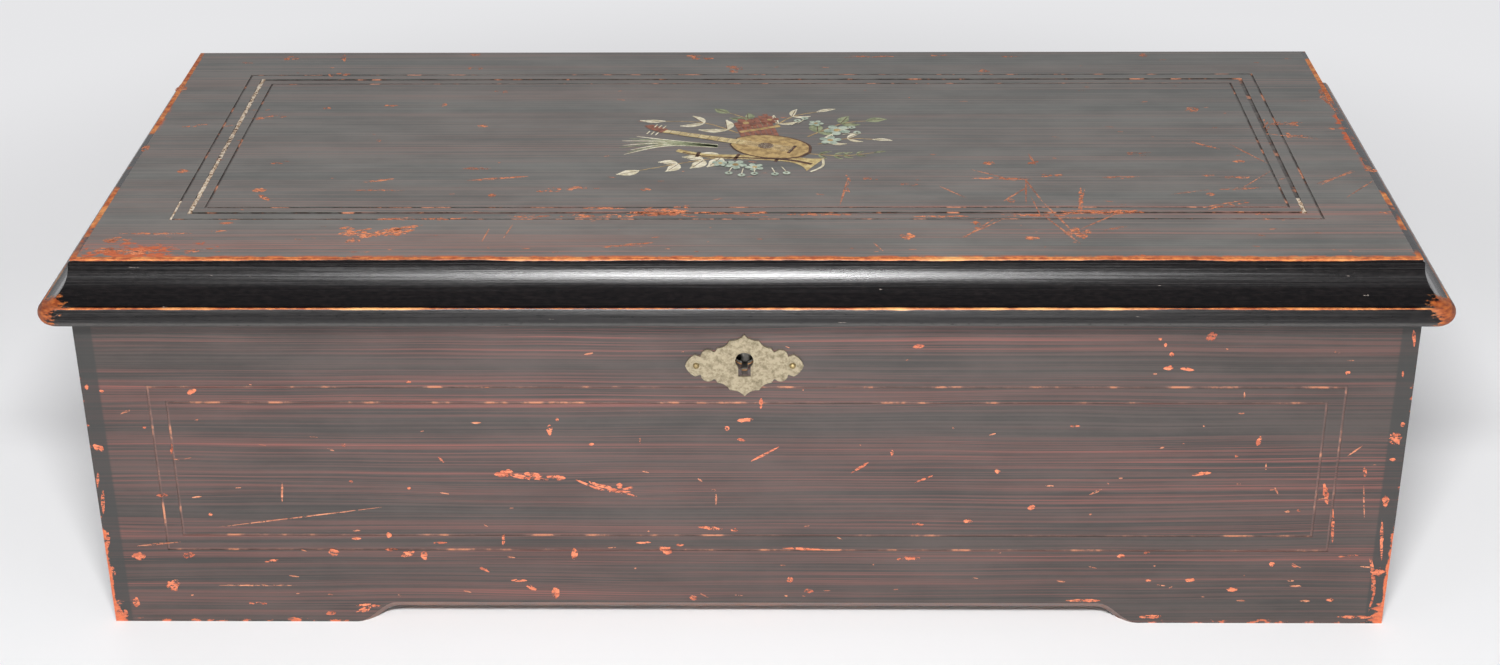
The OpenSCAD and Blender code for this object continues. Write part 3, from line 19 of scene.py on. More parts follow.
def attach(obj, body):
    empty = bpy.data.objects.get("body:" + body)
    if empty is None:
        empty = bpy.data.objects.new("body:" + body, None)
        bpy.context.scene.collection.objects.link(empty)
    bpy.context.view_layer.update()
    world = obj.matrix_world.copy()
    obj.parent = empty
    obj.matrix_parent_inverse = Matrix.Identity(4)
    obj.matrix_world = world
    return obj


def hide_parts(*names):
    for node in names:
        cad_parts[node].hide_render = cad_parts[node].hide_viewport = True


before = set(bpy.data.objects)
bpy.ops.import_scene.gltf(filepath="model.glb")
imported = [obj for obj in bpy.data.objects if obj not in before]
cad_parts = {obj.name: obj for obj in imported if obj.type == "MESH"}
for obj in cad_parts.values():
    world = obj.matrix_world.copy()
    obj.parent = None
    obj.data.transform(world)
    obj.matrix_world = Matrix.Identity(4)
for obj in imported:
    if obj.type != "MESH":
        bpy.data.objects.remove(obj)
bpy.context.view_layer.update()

LOG = logging.getLogger("music_box")
MM = 0.001
Point = tuple[float, float]
Place = tuple[float, float, float]
Colour = tuple[float, float, float]
Mark = tuple[float, float, float, float, float]

# Sizes of the case and the lid, in millimetres, that both the finishes and the meshes need.
HALF_LONG = 245.0
MIDDLE_Y = 3.05
HALF_DEEP = 109.0
FRONT_Y = MIDDLE_Y - HALF_DEEP
LID_UNDER = 143.0
LID_TOP = 154.0


def linear(red: float, green: float, blue: float) -> Colour:
    """A colour as paint shops give it, 0 to 255, turned into the linear values that shaders use.

    Args:
        red, green, blue: The display values.

    Returns:
        The linear colour.
    """
    def one(value: float) -> float:
        """One channel."""
        share = value / 255
        return share / 12.92 if share <= 0.04045 else ((share + 0.055) / 1.055) ** 2.4

    return one(red), one(green), one(blue)


# ---- Shader maths --------------------------------------------------------------------------------


def two_terms(operation: str, flipped: bool = False) -> Callable[["Value", Any], "Value"]:
    """Makes a method of Value that joins two terms by a Math node.

    Args:
        operation: The node's operation.
        flipped: Whether the other term comes first.

    Returns:
        The method.
    """
    def method(self: "Value", other: Any) -> "Value":
        """The two terms joined."""
        return self._math(operation, *((other, self) if flipped else (self, other)))

    return method


class Value:
    """A socket of a shader tree that adds Math nodes when it is used in an expression."""

    def __init__(self, graph: "Graph", socket: bpy.types.NodeSocket) -> None:
        """Keeps the tree and the socket."""
        self.graph = graph
        self.socket = socket

    def _math(self, operation: str, *terms: Any, clamp: bool = False) -> "Value":
        """Adds one Math node.

        Args:
            operation: The node's operation.
            terms: Its inputs, in order.
            clamp: Whether the result is held between 0 and 1.

        Returns:
            The node's result.
        """
        settings = {"operation": operation, "use_clamp": clamp}
        return self.graph.node("ShaderNodeMath", settings, dict(enumerate(terms)))[0]

    __add__ = __radd__ = two_terms("ADD")
    __mul__ = __rmul__ = two_terms("MULTIPLY")
    __sub__ = two_terms("SUBTRACT")
    __rsub__ = two_terms("SUBTRACT", flipped=True)
    max = two_terms("MAXIMUM")

    def __abs__(self) -> "Value":
        """abs(self)."""
        return self._math("ABSOLUTE", self)

    def clamp(self) -> "Value":
        """self held between 0 and 1."""
        return self._math("ADD", self, 0.0, clamp=True)

    def ramp(self, low: float, high: float) -> "Value":
        """0 below low, 1 above high and smooth between them; low may be above high.

        Args:
            low: Where the result is 0.
            high: Where the result is 1.

        Returns:
            The smooth step.
        """
        settings = {"interpolation_type": "SMOOTHSTEP"}
        return self.graph.node("ShaderNodeMapRange", settings,
                               {"Value": self, "From Min": low, "From Max": high})[0]


class Node:
    """A node of the tree, whose outputs are taken by index or by name."""

    def __init__(self, graph: "Graph", node: bpy.types.Node) -> None:
        """Keeps the tree and the node."""
        self.graph = graph
        self.node = node

    def __getitem__(self, key: Union[int, str]) -> Value:
        """The output of that index or name."""
        return Value(self.graph, self.node.outputs[key])


class Graph:
    """One material's node tree."""

    def __init__(self, tree: bpy.types.NodeTree) -> None:
        """Empties the tree and keeps it."""
        tree.nodes.clear()
        self.tree = tree

    def node(self, kind: str, settings: Optional[Mapping[str, Any]] = None,
             sockets: Optional[Mapping[Union[int, str], Any]] = None) -> Node:
        """Adds a node.

        Args:
            kind: The node's type.
            settings: Its properties, set first; "stops" holds a ramp's (place, colour) pairs.
            sockets: Values or links of its inputs, by index or name.

        Returns:
            The node.
        """
        made = self.tree.nodes.new(kind)
        for key, value in (settings or {}).items():
            if key == "stops":
                self._set_stops(made.color_ramp.elements, value)
            else:
                setattr(made, key, value)
        for key, value in (sockets or {}).items():
            socket = made.inputs[key]
            if isinstance(value, Value):
                self.tree.links.new(value.socket, socket)
            elif isinstance(value, tuple) and len(socket.default_value) == 4 and len(value) == 3:
                socket.default_value = (*value, 1.0)
            else:
                socket.default_value = value
        return Node(self, made)

    @staticmethod
    def _set_stops(elements: Any, stops: Sequence[tuple[float, Colour]]) -> None:
        """Gives a colour ramp its stops.

        Args:
            elements: The ramp's elements.
            stops: A place and a colour for each.
        """
        while len(elements) < len(stops):
            elements.new(1.0)
        for element, (place, colour) in zip(elements, stops):
            element.position = place
            element.color = (*colour, 1.0)

    def place(self) -> Value:
        """The point in the piece's own frame, in millimetres."""
        coordinates = self.node("ShaderNodeTexCoord")["Object"]
        return self.vector("SCALE", coordinates, Scale=1 / MM)

    def vector(self, operation: str, *terms: Any, **sockets: Any) -> Value:
        """Adds one Vector Math node.

        Args:
            operation: The node's operation.
            terms: Its vector inputs, in order.
            sockets: Inputs by name, such as Scale.

        Returns:
            The vector, or the number where the operation gives one.
        """
        made = self.node("ShaderNodeVectorMath", {"operation": operation},
                         {**dict(enumerate(terms)), **sockets})
        return made["Value" if operation in ("LENGTH", "DOT_PRODUCT", "DISTANCE") else "Vector"]

    def stretch(self, point: Value, x: float, y: float, z: float) -> Value:
        """The point with each axis scaled."""
        return self.vector("MULTIPLY", point, (x, y, z))

    def split(self, point: Value) -> tuple[Value, Value, Value]:
        """The three numbers of a vector."""
        made = self.node("ShaderNodeSeparateXYZ", None, {0: point})
        return made[0], made[1], made[2]

    def join(self, x: Any, y: Any, z: Any) -> Value:
        """A vector from three numbers."""
        return self.node("ShaderNodeCombineXYZ", None, {0: x, 1: y, 2: z})[0]

    def noise(self, point: Value, scale: float = 1.0, detail: float = 2.0,
              rough: float = 0.5, twist: float = 0.0) -> Value:
        """Noise between 0 and 1, about 0.5.

        Args:
            point: Where it is read.
            scale: How many features there are to a unit.
            detail: Number of octaves.
            rough: Share that each octave keeps.
            twist: Distortion.

        Returns:
            The noise.
        """
        return self.node("ShaderNodeTexNoise", None, {
            "Vector": point, "Scale": scale, "Detail": detail, "Roughness": rough,
            "Distortion": twist})["Fac"]

    def mix(self, share: Any, first: Any, second: Any, mode: str = "MIX") -> Value:
        """A colour between two.

        Args:
            share: How much of the second colour there is.
            first: The colour at share 0.
            second: The colour at share 1.
            mode: The blend mode.

        Returns:
            The mixed colour.
        """
        settings = {"data_type": "RGBA", "blend_type": mode, "clamp_factor": True}
        return self.node("ShaderNodeMix", settings, {0: share, 6: first, 7: second})[2]

    def ramp(self, value: Value, stops: Sequence[tuple[float, Colour]]) -> Value:
        """The colour of a ramp at a value."""
        return self.node("ShaderNodeValToRGB", {"stops": stops}, {0: value})[0]

    def bump(self, height: Value, depth: float, strength: float = 1.0,
             below: Optional[Value] = None) -> Value:
        """A normal from a height between 0 and 1.

        Args:
            height: The height.
            depth: Millimetres that height 1 stands for.
            strength: Share of the effect.
            below: A normal that this one is added to.

        Returns:
            The normal.
        """
        sockets: dict[Union[int, str], Any] = {
            "Strength": strength, "Distance": depth * MM, "Height": height}
        if below is not None:
            sockets["Normal"] = below
        return self.node("ShaderNodeBump", None, sockets)[0]

    def surface(self, **sockets: Any) -> Node:
        """A Principled shader; socket names have _ for a space."""
        named = {name.replace("_", " "): value for name, value in sockets.items()}
        return self.node("ShaderNodeBsdfPrincipled", None, named)

    def output(self, shader: Node) -> None:
        """Joins a shader to the material's output."""
        made = self.node("ShaderNodeOutputMaterial")
        self.tree.links.new(shader.node.outputs[0], made.node.inputs["Surface"])


# ---- Tables of worn marks ------------------------------------------------------------------------


# A mark's place along and across its face, half-length and half-width, and angle in degrees.
FRONT_MARKS: tuple[Mark, ...] = (
    (-124, 105.1, 1.3, 0.6, 0), (-204.2, 101, 2, 1.03, 27), (-229.9, 92.5, 2.1, 0.37, 23),
    (-223.5, 86.1, 0.7, 0.8, 0), (-214.5, 76.7, 2.2, 0.59, 82), (-241.9, 77.3, 2.2, 1.48, -30),
    (-242.8, 102.9, 1.3, 0.69, 81), (-237.6, 101.3, 0.9, 0.6, 0), (-149.8, 78.5, 1.1, 0.8, 0),
    (-174.8, 58.1, 4.4, 0.4, 85), (-220.2, 56.6, 2.3, 0.7, 0), (-207.3, 55.9, 1.9, 0.4, 6),
    (-203, 48.2, 0.8, 0.7, 0), (-168.3, 47.2, 30.4, 0.25, 8), (-224.2, 35.1, 8.2, 0.39, 6),
    (-232.5, 29.7, 2.7, 1.5, 0), (-213.2, 30.1, 2.4, 1.39, 12), (-220.9, 16.5, 2.8, 2.18, 18),
    (-189, 8.4, 3.9, 1.1, 0), (-181.6, 27.6, 2.7, 0.49, 10), (-157.5, 31.6, 2, 1.6, 0),
    (-148.3, 37.6, 1.9, 0.6, 0), (-148.1, 41.2, 1.6, 0.4, 0), (-135.8, 39.2, 1.1, 1.1, 0),
    (-129.3, 30.9, 2.8, 1.54, 23), (-122.7, 30.3, 2.1, 1.5, 87), (-135.3, 32.7, 2.3, 0.7, 0),
    (-116.8, 35.9, 3.1, 0.5, 0), (-92.4, 37.1, 2.2, 0.6, 87), (-100.5, 23.9, 2.4, 0.67, -30),
    (-87.3, 18.9, 3.1, 0.6, 0), (-82.4, 15.5, 2.3, 0.94, -25), (-188.2, 16.5, 14.7, 0.3, 0),
    (-173.8, 20.7, 1.9, 0.31, -9), (-113.8, 72.2, 1.5, 0.49, -48), (-148.4, 62.7, 0.8, 0.6, 0),
    (-126.7, 59.9, 0.7, 0.5, 0), (-99.8, 88, 1.9, 0.4, 0), (-236, 8.7, 2.3, 1.29, 83),
    (-241.5, 4.1, 3.4, 2.4, -36), (-243.9, 63.5, 3.5, 0.49, 82), (-243.2, 53.7, 5.2, 0.7, 83),
    (-243.5, 36.8, 3.6, 0.79, 82), (-243.7, 21.1, 3.6, 1.18, 84), (-147.2, 5.9, 6.1, 1.32, 20),
    (-161, 3.7, 2, 0.9, 11), (-84.2, 65.9, 8.6, 2.12, -5), (-89.4, 66.5, 2.6, 1.7, 0),
    (-71.1, 64.6, 3.7, 1, -5), (-54.7, 60.5, 12.1, 1.43, -14), (-47.9, 60, 4.9, 1.8, 1),
    (6, 96.4, 2.5, 0.7, 90), (0.2, 89.3, 3, 1, 6), (-6.7, 85.9, 1, 1.1, 0),
    (-1.5, 80.8, 1.5, 0.61, -11), (7.4, 74.8, 6.2, 0.45, 31), (-72.6, 85, 2.5, 1, 88),
    (-69.6, 89.4, 0.6, 0.8, 0), (-57.2, 79, 1.1, 0.7, 0), (42.9, 69, 3.9, 0.53, 35),
    (66.9, 64.1, 3.8, 0.5, 25), (54.7, 75.3, 1.3, 0.6, 90), (63.6, 119.8, 2.2, 0.8, 5),
    (-30.5, 32.7, 2.7, 1.8, -24), (-39, 36, 2.7, 0.5, 2), (-25.1, 35, 1.5, 0.5, 0),
    (-65.7, 30.9, 2.6, 1.2, 86), (-13.4, 42.5, 4.6, 0.71, -5), (-4.3, 41.7, 1.5, 0.8, 0),
    (21.7, 33.3, 7.7, 0.5, -2), (61.8, 29.1, 4.5, 0.8, 4), (65.1, 44.4, 3.4, 1.1, -5),
    (-73.3, 13.4, 2.7, 1.3, 88), (-20.2, 11.3, 1.6, 1.1, 0), (16.8, 19.3, 1.3, 1.5, 0),
    (24.1, 14.3, 1.9, 0.9, 0), (83, 10.3, 1.4, 1, 94), (94.3, 67.6, 1.2, 0.99, -24),
    (-92.1, 37.5, 2.2, 0.6, 87), (-39.1, 80.3, 1.3, 0.3, 90), (-17, 63.6, 1.1, 0.3, -38),
    (-11.1, 54.9, 2.6, 0.3, 90), (-4.4, 1, 11.6, 0.6, 0), (151, 122.9, 0.7, 0.6, 0),
    (153.2, 120.5, 0.8, 0.5, 90), (155.7, 116.6, 0.9, 0.9, 0), (155.1, 111.1, 2.1, 0.91, 5),
    (161.7, 110.5, 2.6, 0.7, -7), (150.2, 108.6, 0.7, 0.4, 0), (169.6, 123.9, 2.2, 1.71, 24),
    (122.2, 86.8, 1.8, 0.5, 0), (107.7, 51.7, 1.5, 1.13, 23), (84, 45.6, 1.8, 1, 0),
    (131.4, 58.5, 2.6, 0.4, 29), (170.5, 66.5, 3.6, 0.72, 9), (183.6, 99.6, 1.7, 0.3, 97),
    (190.6, 80.5, 2.1, 0.87, 76), (183.1, 92.2, 1.1, 0.4, 0), (182.9, 74.1, 0.7, 0.6, 0),
    (194.2, 69.6, 1.5, 0.3, 94), (199.1, 59.1, 1.7, 0.36, -62), (204.1, 50.1, 1.1, 0.4, 0),
    (208.2, 50.5, 0.8, 0.6, 0), (217.6, 57.9, 4.9, 1.02, 104), (221.7, 43.9, 7.5, 0.6, 95),
    (231.2, 67.5, 2.2, 0.7, 95), (232.3, 54.4, 7, 0.25, 97), (240.9, 81.6, 2.5, 2.6, 23),
    (242.8, 87.6, 1.1, 0.79, 100), (240.9, 72.7, 1.2, 0.6, 0), (240.3, 54.8, 2.6, 1.29, 97),
    (240.5, 108.6, 1.3, 0.5, 94), (242.8, 123.4, 3.6, 0.59, 98), (229.2, 30.8, 4.1, 1.21, 4),
    (240.8, 37.6, 9, 0.6, 96), (240.3, 14.8, 11.8, 1.2, 96), (241.4, 23.3, 2.2, 1.6, 2),
    (236.7, 25.6, 2.7, 0.3, -4), (142.7, 30.3, 1.5, 1.1, 0), (152.5, 31.8, 1.2, 0.6, 0),
    (200.4, 26.9, 1.1, 1, 0), (208.8, 26.2, 1.3, 0.65, -42), (169.8, 19.6, 1.9, 0.9, 0),
    (153.8, 19.3, 1.1, 0.5, 0), (186.1, 15.3, 2.3, 0.8, 0), (210.3, 17, 2.3, 0.4, 0),
    (190, 10.3, 1.6, 0.4, 0), (155.9, 2.9, 4.6, 0.9, 1), (129.7, 10.2, 6.9, 0.7, 0),
    (220.4, 109.2, 0.9, 0.8, 0), (226.5, 76.3, 3.3, 0.29, 41), (214.6, 10.2, 1.9, 0.4, 0),
    (224.1, 10.6, 1.5, 0.7, 0), (235.6, 2.9, 7.7, 0.7, 0),
)
LID_MARKS: tuple[Mark, ...] = (
    (-220.1, 98.9, 4, 1.4, 0), (-202.3, 104.4, 3.6, 3.8, 0), (-177.8, 103.7, 7.7, 1.77, 100),
    (-121, 109.4, 3.1, 3.3, 0), (-119.2, 92.2, 3.1, 2.4, 0), (-178, 85, 5.2, 2.2, 0),
    (-241.6, 67.4, 2.5, 4.7, 0), (-149, 47.7, 3.7, 2.1, 0), (-175.5, 44.9, 1.6, 1.4, 0),
    (-197.7, 34.1, 7.3, 1.72, 14), (-226.1, 25.4, 5.3, 1.54, 22), (-127.3, 48.9, 1.3, 1.7, 0),
    (-105.5, 63.6, 3, 1.6, 0), (-108.5, 25, 2.2, 1.53, -13), (-148.5, 9.5, 1.2, 1.3, 0),
    (-240.8, 1.5, 1.6, 3.1, 0), (-220.5, -22.2, 2.4, 1.9, 0), (-185.9, -14.2, 3.6, 1.6, 0),
    (-186.7, -41.4, 2.7, 2, 0), (-183.6, -48.1, 3.9, 1.08, -48), (-142.2, -31.7, 6.1, 0.92, 16),
    (-96.7, -29.8, 11.6, 0.9, 10), (-105.3, -19.8, 5.9, 1, 0), (-96.8, -46.2, 1.5, 1.9, 0),
    (-74.7, -41.6, 4.6, 2.42, 10), (-140.7, -41.4, 9.6, 0.6, 0), (-133.7, -80.1, 13.4, 4.45, 20),
    (-142, -86.8, 4.7, 2.51, 36), (-147.1, -77, 2.9, 1.8, 0), (-228.7, -87, 5.6, 4.5, 0),
    (-227.4, -96.8, 11.7, 3.5, 0), (-198.4, -96.8, 5.1, 2.1, 0), (-217.1, -81.4, 12.9, 0.8, 0),
    (-193, -72.1, 2.9, 1.1, 0), (-194.1, -79.4, 3, 0.9, 0), (-95.1, -82.8, 6.3, 0.25, 83),
    (-87.2, -79.6, 6.7, 0.25, 80), (-22.3, 106.8, 5.2, 3.9, 0), (50.4, 106.6, 10.9, 1.6, 0),
    (81.9, 107.7, 3.5, 1.8, 0), (114.6, 106.4, 6.6, 1.2, -1), (-6.5, 91, 4.3, 3.7, -1),
    (100.6, 87.6, 2.5, 2.2, 0), (48.1, -30.4, 3.1, 1.8, 0), (38.7, -35.4, 7.7, 1.53, 93),
    (62.5, -35.4, 3.5, 1.6, 0), (-64.1, -39.6, 7.7, 1.71, 7), (-53.6, -58.6, 8.3, 0.9, 0),
    (-33.6, -61.2, 11.2, 3.4, 0), (-38.4, -40.6, 2, 1.3, -3), (-23.2, -57.2, 3, 1.3, 0),
    (-40.6, -64.8, 11.2, 2, -1), (5.9, -62.4, 3, 0.9, 0), (-43.7, -91.9, 11, 0.9, 12),
    (111.7, -13.9, 3, 2.72, 23), (116.7, -26.8, 3.5, 1.8, 0), (94.8, -14.9, 2.3, 2, 0),
    (96.7, -30, 9.6, 0.9, 0), (100.3, -51.4, 1.5, 2.1, 0), (86.1, -73, 5.4, 1.8, 86),
    (87, -77.6, 11.9, 0.35, 45), (59.7, -84.2, 2.9, 2.7, 0), (105, -85.8, 2.9, 1.5, 0),
    (48.9, -94, 4.8, 0.26, -66), (171.7, 107.4, 1.8, 2, 0), (182.9, 42.6, 2.6, 2.76, -50),
    (153.4, -5, 4.7, 1.9, 0), (117, -27.2, 4.7, 1.4, 0), (143.4, -29.2, 6.4, 1.36, 7),
    (104, -30.8, 5.7, 1, 0), (182.4, 3.3, 6.5, 0.82, -39), (192.7, -13.2, 2.4, 1.3, 0),
    (176.4, -45.4, 1.9, 1.3, 0), (189.2, -40.2, 8.5, 0.78, 5), (188.8, -29.2, 5.8, 0.9, 0),
    (177.5, -27.2, 3.1, 1.2, 0), (181.9, -56, 7.5, 1.65, 18), (216.9, 26.4, 7.3, 2.9, 0),
    (210.3, 25.2, 7.9, 1.28, 80), (222.8, 12.8, 6, 1.45, -23), (217.3, 13.8, 1.2, 3.3, 0),
    (237.5, 21.8, 4.8, 1.5, 0), (242.4, -22.4, 2.4, 1.41, -2), (239.4, -62.8, 3, 1, 0),
    (227, -29.9, 10.7, 0.37, 43), (234.1, -40.6, 10.7, 0.33, 50), (192.3, -64.4, 3.4, 1.3, 0),
    (192, -69.2, 3.7, 1.2, 0), (136.8, -62.6, 16.8, 2.1, 0), (106.9, -65.1, 11.9, 1.6, 0),
    (122.4, -79.8, 4.4, 5.4, 0), (126.7, -50.8, 11.6, 0.89, 84), (106.8, -41.8, 13.7, 0.3, 85),
    (109.2, -57, 9.9, 0.25, -84), (116.7, -78.1, 14.2, 0.38, -67), (136.3, -77.2, 4.9, 0.65, 21),
    (240.4, 53.9, 12.1, 1.92, 90), (-16.9, -63.8, 22.4, 1.1, 0), (27.9, -64.4, 15, 0.9, 0),
    (72.6, -66.2, 11.1, 0.9, 0), (-69.2, -66.1, 18.7, 1.3, 0), (-121.3, -67.8, 16.8, 1.1, 0),
    (109.7, -41.5, 11.7, 0.42, -78), (117, -68.6, 16.4, 0.42, -73), (126.7, -52.1, 11.9, 0.42, 77),
    (86.2, -77.3, 10.3, 0.42, 54), (95.2, -26.4, 9.4, 0.36, -34), (227.1, -29.6, 10.5, 0.36, 35),
    (180.1, -54.5, 9.1, 0.42, 22), (102.7, -45, 8.9, 0.42, 53), (112, -11.1, 6, 0.42, -81),
    (145.9, -28.6, 6.1, 0.36, 0), (169, -43.5, 7.6, 0.36, 16), (197.6, -5, 11.1, 0.36, -60),
    (218.7, 12.8, 10.4, 0.35, -16), (123.3, -67.7, 7.8, 0.36, 0), (131.9, -70, 10.5, 0.36, 43),
    (37.4, -42.7, 12.8, 0.36, 82), (196.2, -31.5, 11.8, 0.25, 50), (78.9, -43.4, 7.3, 0.36, -50),
)


# ---- Finishes ------------------------------------------------------------------------------------


class Face(Enum):
    """Which way a painted panel faces: the two axes that lie in its plane."""

    FRONT = "xz"
    END = "yz"
    TOP = "xy"


@dataclass(frozen=True)
class Finish:
    """A finish that paints one material."""

    name: str

    def material(self) -> bpy.types.Material:
        """The material, made when it is first asked for.

        Returns:
            The material of this name.
        """
        name = f"{self.name}_finish"
        made = bpy.data.materials.get(name)
        if made is None:
            made = bpy.data.materials.new(name)
            made.use_nodes = True
            self.paint(Graph(made.node_tree))
        return made

    def paint(self, g: Graph) -> None:
        """Fills the material's tree.

        Args:
            g: The tree.
        """
        raise NotImplementedError


@dataclass(frozen=True)
class Spot:
    """A place on a panel: its point, and how far along and up its painted face it lies."""

    x: Value
    y: Value
    z: Value
    along: Value
    over: Value


@dataclass(frozen=True)
class GrainedPaint(Finish):
    """Rosewood graining over an orange ground: dark combed streaks, chips and worn edges.

    half_long is half the panel's length; seed shifts all its noise. The lid's border and arris
    are its front edge's distance from the middle, and border_x and arris_x those of its ends.
    """

    face: Face = Face.FRONT
    seed: float = 0.0
    half_long: float = HALF_LONG
    red_share: float = 0.5
    dark: Colour = linear(69, 62, 59)
    deep: Colour = linear(49, 47, 45)
    red: Colour = linear(120, 72, 65)
    band: Colour = linear(48, 49, 48)
    ground: Colour = linear(198, 104, 62)
    dark_ground: Colour = linear(172, 82, 52)
    wood: Colour = linear(196, 146, 92)
    dark_wood: Colour = linear(150, 100, 58)
    line: Colour = linear(110, 84, 77)
    rubbed_line: Colour = linear(184, 126, 98)
    rough: float = 0.36
    under: Colour = linear(70, 38, 22)
    worn_under: Colour = linear(120, 68, 38)
    border: float = 103.5
    arris: float = 101.95
    border_x: float = 243.0
    arris_x: float = 241.0

    def weave(self, g: Graph, along: Value, over: Value, shift: float, detail: float = 2.0,
              rough: float = 0.5) -> Value:
        """Noise over the face.

        Args:
            g: The tree.
            along, over: Where it is read, already scaled.
            shift: Which part of the noise is read; each use has its own.
            detail: Number of octaves.
            rough: Share that each octave keeps.

        Returns:
            The noise.
        """
        return g.noise(g.join(along, over, self.seed + shift), 1.0, detail, rough)

    def from_end(self, at: Spot) -> Value:
        """How far a place is from the panel's nearer end."""
        return self.half_long - abs(at.along)

    def inside(self, at: Spot) -> Value:
        """The bare faces of the board.

        Args:
            at: The place.

        Returns:
            1 on them, 0 on the painted ones.
        """
        if self.face is Face.FRONT:
            painted = abs(at.y - MIDDLE_Y).ramp(HALF_DEEP - 3.8, HALF_DEEP - 4.4)
            return painted * abs(at.x).ramp(HALF_LONG - 0.1, HALF_LONG - 0.6)
        if self.face is Face.END:
            return abs(at.x).ramp(HALF_LONG - 0.4, HALF_LONG - 1.0)
        return at.z.ramp(LID_UNDER + 0.6, LID_UNDER + 0.1)

    def groove(self, at: Spot) -> Value:
        """The incised lines of a painted face.

        Args:
            at: The place.

        Returns:
            1 in them.
        """
        deep, full = (0.9, 0.6) if self.face is Face.END else (1.2, 1.0)
        if self.face is Face.FRONT:
            sunk = at.y - FRONT_Y
        elif self.face is Face.END:
            sunk = HALF_LONG - abs(at.x)
        else:
            sunk = LID_TOP - at.z
        return sunk.ramp(0.04, 0.08) * sunk.ramp(deep, full)

    def lid_edges(self, at: Spot, ragged: Value, coarse: Value) -> Value:
        """The lid panel's worn edges: its rim, its border and one corner.

        Args:
            at: The place.
            ragged, coarse: Fine and broad noise that breaks the wear up.

        Returns:
            1 where the paint has worn through.
        """
        outward = (abs(at.x) - self.arris_x).max(0.0 - at.y - self.arris)
        right = abs(at.x - self.border_x).ramp(9.0, 0.5) * coarse.ramp(0.45, 0.7) * 0.8
        left = (at.x + self.border_x).ramp(5.0, 0.0) * coarse.ramp(0.45, 0.7) * 0.7
        inward = at.y + self.border
        front = inward.ramp(7.0, 0.0) * (0.36 + coarse.ramp(0.5, 0.7) * 0.3)
        corner = inward.ramp(34.0, 6.0) * at.x.ramp(-110.0, -215.0) * coarse.ramp(0.3, 0.6) * 0.62
        reach = right.max(front).max(left).max(corner)
        patchy = (0.0 - at.y).ramp(95.0, 101.0).max(coarse.ramp(0.52, 0.66) * 0.8)
        rim = outward.ramp(-1.6, 0.0) * ragged.ramp(0.42, 0.56) * patchy
        return (ragged + reach * 0.62).ramp(0.80, 0.86).max(rim)

    def case_edges(self, at: Spot, ragged: Value) -> Value:
        """A case panel's worn edges: its upright arrises, bottom corners and foot.

        Args:
            at: The place.
            ragged: Noise that breaks the wear up.

        Returns:
            1 where the paint has worn through.
        """
        from_end, height = self.from_end(at), at.over
        low = height.ramp(60.0, 10.0)
        outer = abs(at.y - MIDDLE_Y).ramp(HALF_DEEP - 4.0, HALF_DEEP - 0.4)
        if self.face is Face.END:
            outer = (HALF_LONG - abs(at.x)).ramp(3.6, 0.4)
        side = from_end.ramp(2.6, 0.0) * (0.35 + low * 0.65) * outer
        corner = from_end.ramp(10.0, 0.0) * height.ramp(20.0, 0.0) * outer * 0.9
        foot = height.ramp(4.0, 0.0)
        return (ragged + side.max(corner).max(foot * 0.5) * 0.5).ramp(0.76, 0.82)

    def combed(self, g: Graph, at: Spot, across: Value, lines: Value, hairs: Value,
               dirt: Value) -> Value:
        """The colour of the combed grain: red streaks on a dark coat.

        Args:
            g: The tree.
            at: The place.
            across: How far up the face it lies, with the grain's sway.
            lines, hairs, dirt: Noises of the streaks, of the hair lines and of the dirt.

        Returns:
            The colour.
        """
        share: Any = self.red_share
        if self.face is Face.TOP:
            # On the lid the streaks grow redder towards the front: partly real red streaks, partly
            # painted sheen, with the back kept greyer as if veiled by a reflection of the pale
            # backdrop.
            share = (at.y.ramp(-30.0, -95.0) * 0.9 + 0.55) * self.red_share
        broad = self.weave(g, at.along * 0.0012, across * 0.075, 1)
        fade = self.weave(g, at.along * 0.005, at.over * 0.03, 5, 3.0)
        patchy = 0.35 + fade.ramp(0.3, 0.6) * 0.65
        streak = lines.ramp(0.46, 0.66) * broad.ramp(0.34, 0.58) * patchy
        streak = (streak + hairs.ramp(0.50, 0.72) * 0.55 * (0.3 + broad.ramp(0.35, 0.6))) * share
        tone = g.mix((dirt * 0.4 + lines * 0.6).ramp(0.38, 0.6), self.deep, self.dark)
        return g.mix(streak.clamp(), tone, self.red)

    def lined(self, g: Graph, at: Spot, tone: Value) -> Value:
        """The incised lines, and the plain band outside them, over the grain.

        Args:
            g: The tree.
            at: The place.
            tone: The grain's colour.

        Returns:
            The colour with them.
        """
        if self.face is not Face.TOP:
            tone = g.mix(self.from_end(at).ramp(7.2, 6.2) * 0.8, tone, self.band)
        broken = self.weave(g, at.along * 0.11, at.over * 0.11, 12, 4.0, 0.6)
        line = g.mix(broken.ramp(0.54, 0.66), self.line, self.rubbed_line)
        return g.mix(self.groove(at) * (0.35 + broken.ramp(0.4, 0.6) * 0.65), tone, line)

    def chipped(self, g: Graph, at: Spot) -> Value:
        """Worn edges, and specks all over the face.

        Args:
            g: The tree.
            at: The place.

        Returns:
            1 where the paint is off.
        """
        ragged = self.weave(g, at.along * 0.13, at.over * 0.24, 0, 6.0, 0.7)
        if self.face is Face.TOP:
            coarse = self.weave(g, at.along * 0.018, at.over * 0.018, 4)
            chip = self.lid_edges(at, ragged, coarse)
        else:
            chip = self.case_edges(at, ragged)
        specks = self.weave(g, at.along * 0.16, at.over * 0.62, 8, 4.0, 0.62)
        sparse = self.weave(g, at.along * 0.012, at.over * 0.03, 10, 1.0)
        return chip.max(specks.ramp(0.735, 0.765) * sparse.ramp(0.5, 0.66) * 0.85)

